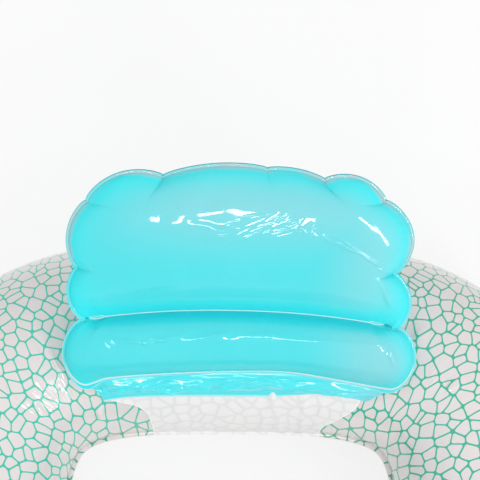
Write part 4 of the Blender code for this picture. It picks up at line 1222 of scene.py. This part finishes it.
def weld_bead(name, front):
    """The bead along the cross weld, and round the loop at each of its ends, with the film inside it."""
    line = quilt_line(np.linspace(0, 1, 400), 0)
    line = line[(line[:, 0] > WELD_DROPS[0][0]) & (line[:, 0] < WELD_DROPS[1][0])]
    paths = [(line, False)]
    turn = np.linspace(0, 2 * math.pi, 49)[:-1]
    along = (1 - np.cos(turn)) / 2
    for tip, (near, far, height) in zip((line[0], line[-1]), WELD_DROPS):
        loop = [tip[0] + (far - near) * along, tip[1] + height * np.sin(turn) * along**0.5]
        paths.append((np.stack(loop, 1), True))
    side = 1.0 if front else -1.0
    places, fills, strips, fans, count = [], [], [], [], 0
    for path, closed in paths:
        size = LOOP_BEAD_SHARE if closed else 1.0
        if closed:
            disc = np.concatenate([path, path.mean(0)[None]])
            places.append(lean_places(disc[:, 0], disc[:, 1], np.full(len(disc), side * (RIM_OUT + 0.0003))))
            fills.append(np.ones(len(disc)))
            rim = np.arange(len(path))
            fan = np.stack([rim, np.roll(rim, -1), np.full(len(path), len(path))], 1)
            turned = (np.cross(path[1] - path[0], disc[-1] - path[0]) > 0) == front
            fans.append((fan if turned else fan[:, ::-1]) + count)
            count += len(disc)
        ahead = np.roll(path, -1, 0) - path if closed else np.gradient(path, axis=0)
        across = np.stack([-ahead[:, 1], ahead[:, 0]], 1)
        across /= np.linalg.norm(across, axis=1, keepdims=True)
        strip = []
        for width, lift in BEAD_SECTION:
            step = path + across * width * size * BEAD_HALF_WIDTH
            out = side * (RIM_OUT + BEAD_HEIGHT * size * lift + 0.0001)
            strip.append(lean_places(step[:, 0], step[:, 1], np.full(len(step), out)))
        strip = np.stack(strip, 1)
        strips.append(grid_faces(*strip.shape[:2], closed=closed, flip=not front) + count)
        places.append(strip.reshape(-1, 3))
        fills.append(np.zeros(len(places[-1])))
        count += len(places[-1])
    places = np.concatenate(places)
    corners = [tuple(face) for group in strips + fans for face in group]
    return film_object(name, places, corners, {"along": places[:, 0], "fill": np.concatenate(fills)})


def weld_bead_material():
    """Pale fused vinyl, with the turquoise film inside the loops."""
    material, tree, shader = vinyl_material("weld_bead", (0.62, 0.86, 0.88), 0.14)
    place = place_vector(tree, surface_value(tree, "along"), 0.0)
    tint = blend_colour(tree, cloudy(tree, place, 160.0, 2.0), BEAD_BLUE, BEAD_WHITE)
    set_inputs(tree, shader, Base_Color=blend_colour(tree, surface_value(tree, "fill"), tint, LOOP_FILL))
    return material


bead_material = weld_bead_material()
for name, front in (("cross_weld_front", True), ("cross_weld_back", False)):
    bead = weld_bead(name, front)
    bead.data.materials.append(bead_material)
    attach(bead, "backrest")

# The valves. Each is four mouldings in soft white vinyl: a seat welded under the film, a stem that
# pushes in, a check flap on the stem's tail, and a plug held by its strap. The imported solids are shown.
MOULDED_DARK = (0.66, 0.70, 0.70)
MOULDED_PALE = (0.74, 0.77, 0.77)


def moulded_vinyl_material():
    material, tree, shader = vinyl_material("moulded_vinyl", (0.71, 0.75, 0.75), 0.32)
    where = tree.nodes.new("ShaderNodeTexCoord").outputs["Object"]
    grain = add_node(
        tree, "ShaderNodeBump", Height=cloudy(tree, where, 900.0, 2.0), Strength=0.15, Distance=0.0004,
    )
    film = blend_colour(tree, cloudy(tree, where, 90.0, 3.0), MOULDED_DARK, MOULDED_PALE)
    set_inputs(tree, shader, Base_Color=film, Normal=grain.outputs["Normal"])
    return material


moulded_vinyl = moulded_vinyl_material()
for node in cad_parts.values():
    if "_valve_" in node.name:
        node.data.materials.clear()
        node.data.materials.append(moulded_vinyl)

# The studio: a plain white floor, an even white surround, and two lamps that the glossy film mirrors in
# streaks, a low strip in front and a narrow tall window at the right. The camera looks steeply down.
CAMERA_AIM = Vector((0.0099, 0.4388, 0.20))
CAMERA_DISTANCE = 2.6
CAMERA_ELEVATION = math.radians(72)
CAMERA_ROLL = math.radians(0.399)
CAMERA_LENS = 146.25
CAMERA_SENSOR = 36
WORLD_STRENGTH = 0.855
FLOOR_GLOW = 0.78
FLOOR_HALF_SIZE = 9
FLOOR_LEVEL = -0.002
# Lamps: name, place, what it is aimed at, width, height and watts
LAMPS = [
    ("front_strip", (-0.14, -1.86, 2.22), (0.0, 0.3, 0.3), 0.52, 0.22, 10),
    ("right_window", (1.44, -1.55, 1.95), (0.0, 0.3, 0.25), 0.12, 1.8, 20),
]


def white_rays(tree):
    """1 for the rays that see the white surround: the camera's, and those that gloss and glass send."""
    path = tree.nodes.new("ShaderNodeLightPath")
    glossy = calculate(tree, "MAXIMUM", path.outputs["Is Glossy Ray"], path.outputs["Is Transmission Ray"])
    return calculate(tree, "MAXIMUM", path.outputs["Is Camera Ray"], glossy)


def white_floor_material():
    """White paint that takes the object's shadow, with a glow for the rays that see the surround."""
    material = bpy.data.materials.new("white_floor")
    material.use_nodes = True
    tree = material.node_tree
    paint = tree.nodes["Principled BSDF"]
    set_inputs(tree, paint, Base_Color=(0.92, 0.92, 0.92), Roughness=0.9)
    glow = add_node(tree, "ShaderNodeEmission", Color=(1, 1, 1))
    share = calculate(tree, "MULTIPLY", white_rays(tree), FLOOR_GLOW)
    mixed = add_node(tree, "ShaderNodeMixShader", i0=share, i1=paint.outputs[0], i2=glow.outputs[0])
    set_inputs(tree, tree.nodes["Material Output"], Surface=mixed.outputs[0])
    return material


def placed_in_scene(name, data):
    placed = bpy.data.objects.new(name, data)
    bpy.context.scene.collection.objects.link(placed)
    return placed


floor_mesh = bpy.data.meshes.new("floor")
corners = np.array([(-1, -1, 0), (1, -1, 0), (1, 1, 0), (-1, 1, 0)]) * FLOOR_HALF_SIZE + [0, 0, FLOOR_LEVEL]
floor_mesh.from_pydata(corners.tolist(), [], [(0, 1, 2, 3)])
floor = placed_in_scene("floor", floor_mesh)
floor.data.materials.append(white_floor_material())

world = bpy.data.worlds.new("studio")
bpy.context.scene.world = world
world.use_nodes = True
tree = world.node_tree
camera_only = tree.nodes.new("ShaderNodeLightPath").outputs["Is Camera Ray"]
strength = add_node(
    tree, "ShaderNodeMath", {"operation": "MULTIPLY_ADD"},
    i0=camera_only, i1=1 - WORLD_STRENGTH, i2=WORLD_STRENGTH,
)
set_inputs(tree, tree.nodes["Background"], Color=(1, 1, 1), Strength=strength.outputs[0])

for name, place, aim, wide, high, watts in LAMPS:
    light = bpy.data.lights.new(name, "AREA")
    light.shape = "RECTANGLE"
    light.size, light.size_y = wide, high
    light.energy = watts
    lamp = placed_in_scene(name, light)
    lamp.location = place
    lamp.rotation_euler = (Vector(aim) - Vector(place)).to_track_quat("-Z", "Y").to_euler()

camera_data = bpy.data.cameras.new("camera")
camera_data.lens = CAMERA_LENS
camera_data.sensor_width = CAMERA_SENSOR
camera = placed_in_scene("camera", camera_data)
view_line = Vector((0, math.cos(CAMERA_ELEVATION), -math.sin(CAMERA_ELEVATION)))
aim_turn = view_line.to_track_quat("-Z", "Y").to_matrix().to_4x4() @ Matrix.Rotation(CAMERA_ROLL, 4, "Z")
camera.matrix_world = Matrix.Translation(CAMERA_AIM - view_line * CAMERA_DISTANCE) @ aim_turn
bpy.context.scene.camera = camera
bpy.context.scene.view_settings.view_transform = "Standard"
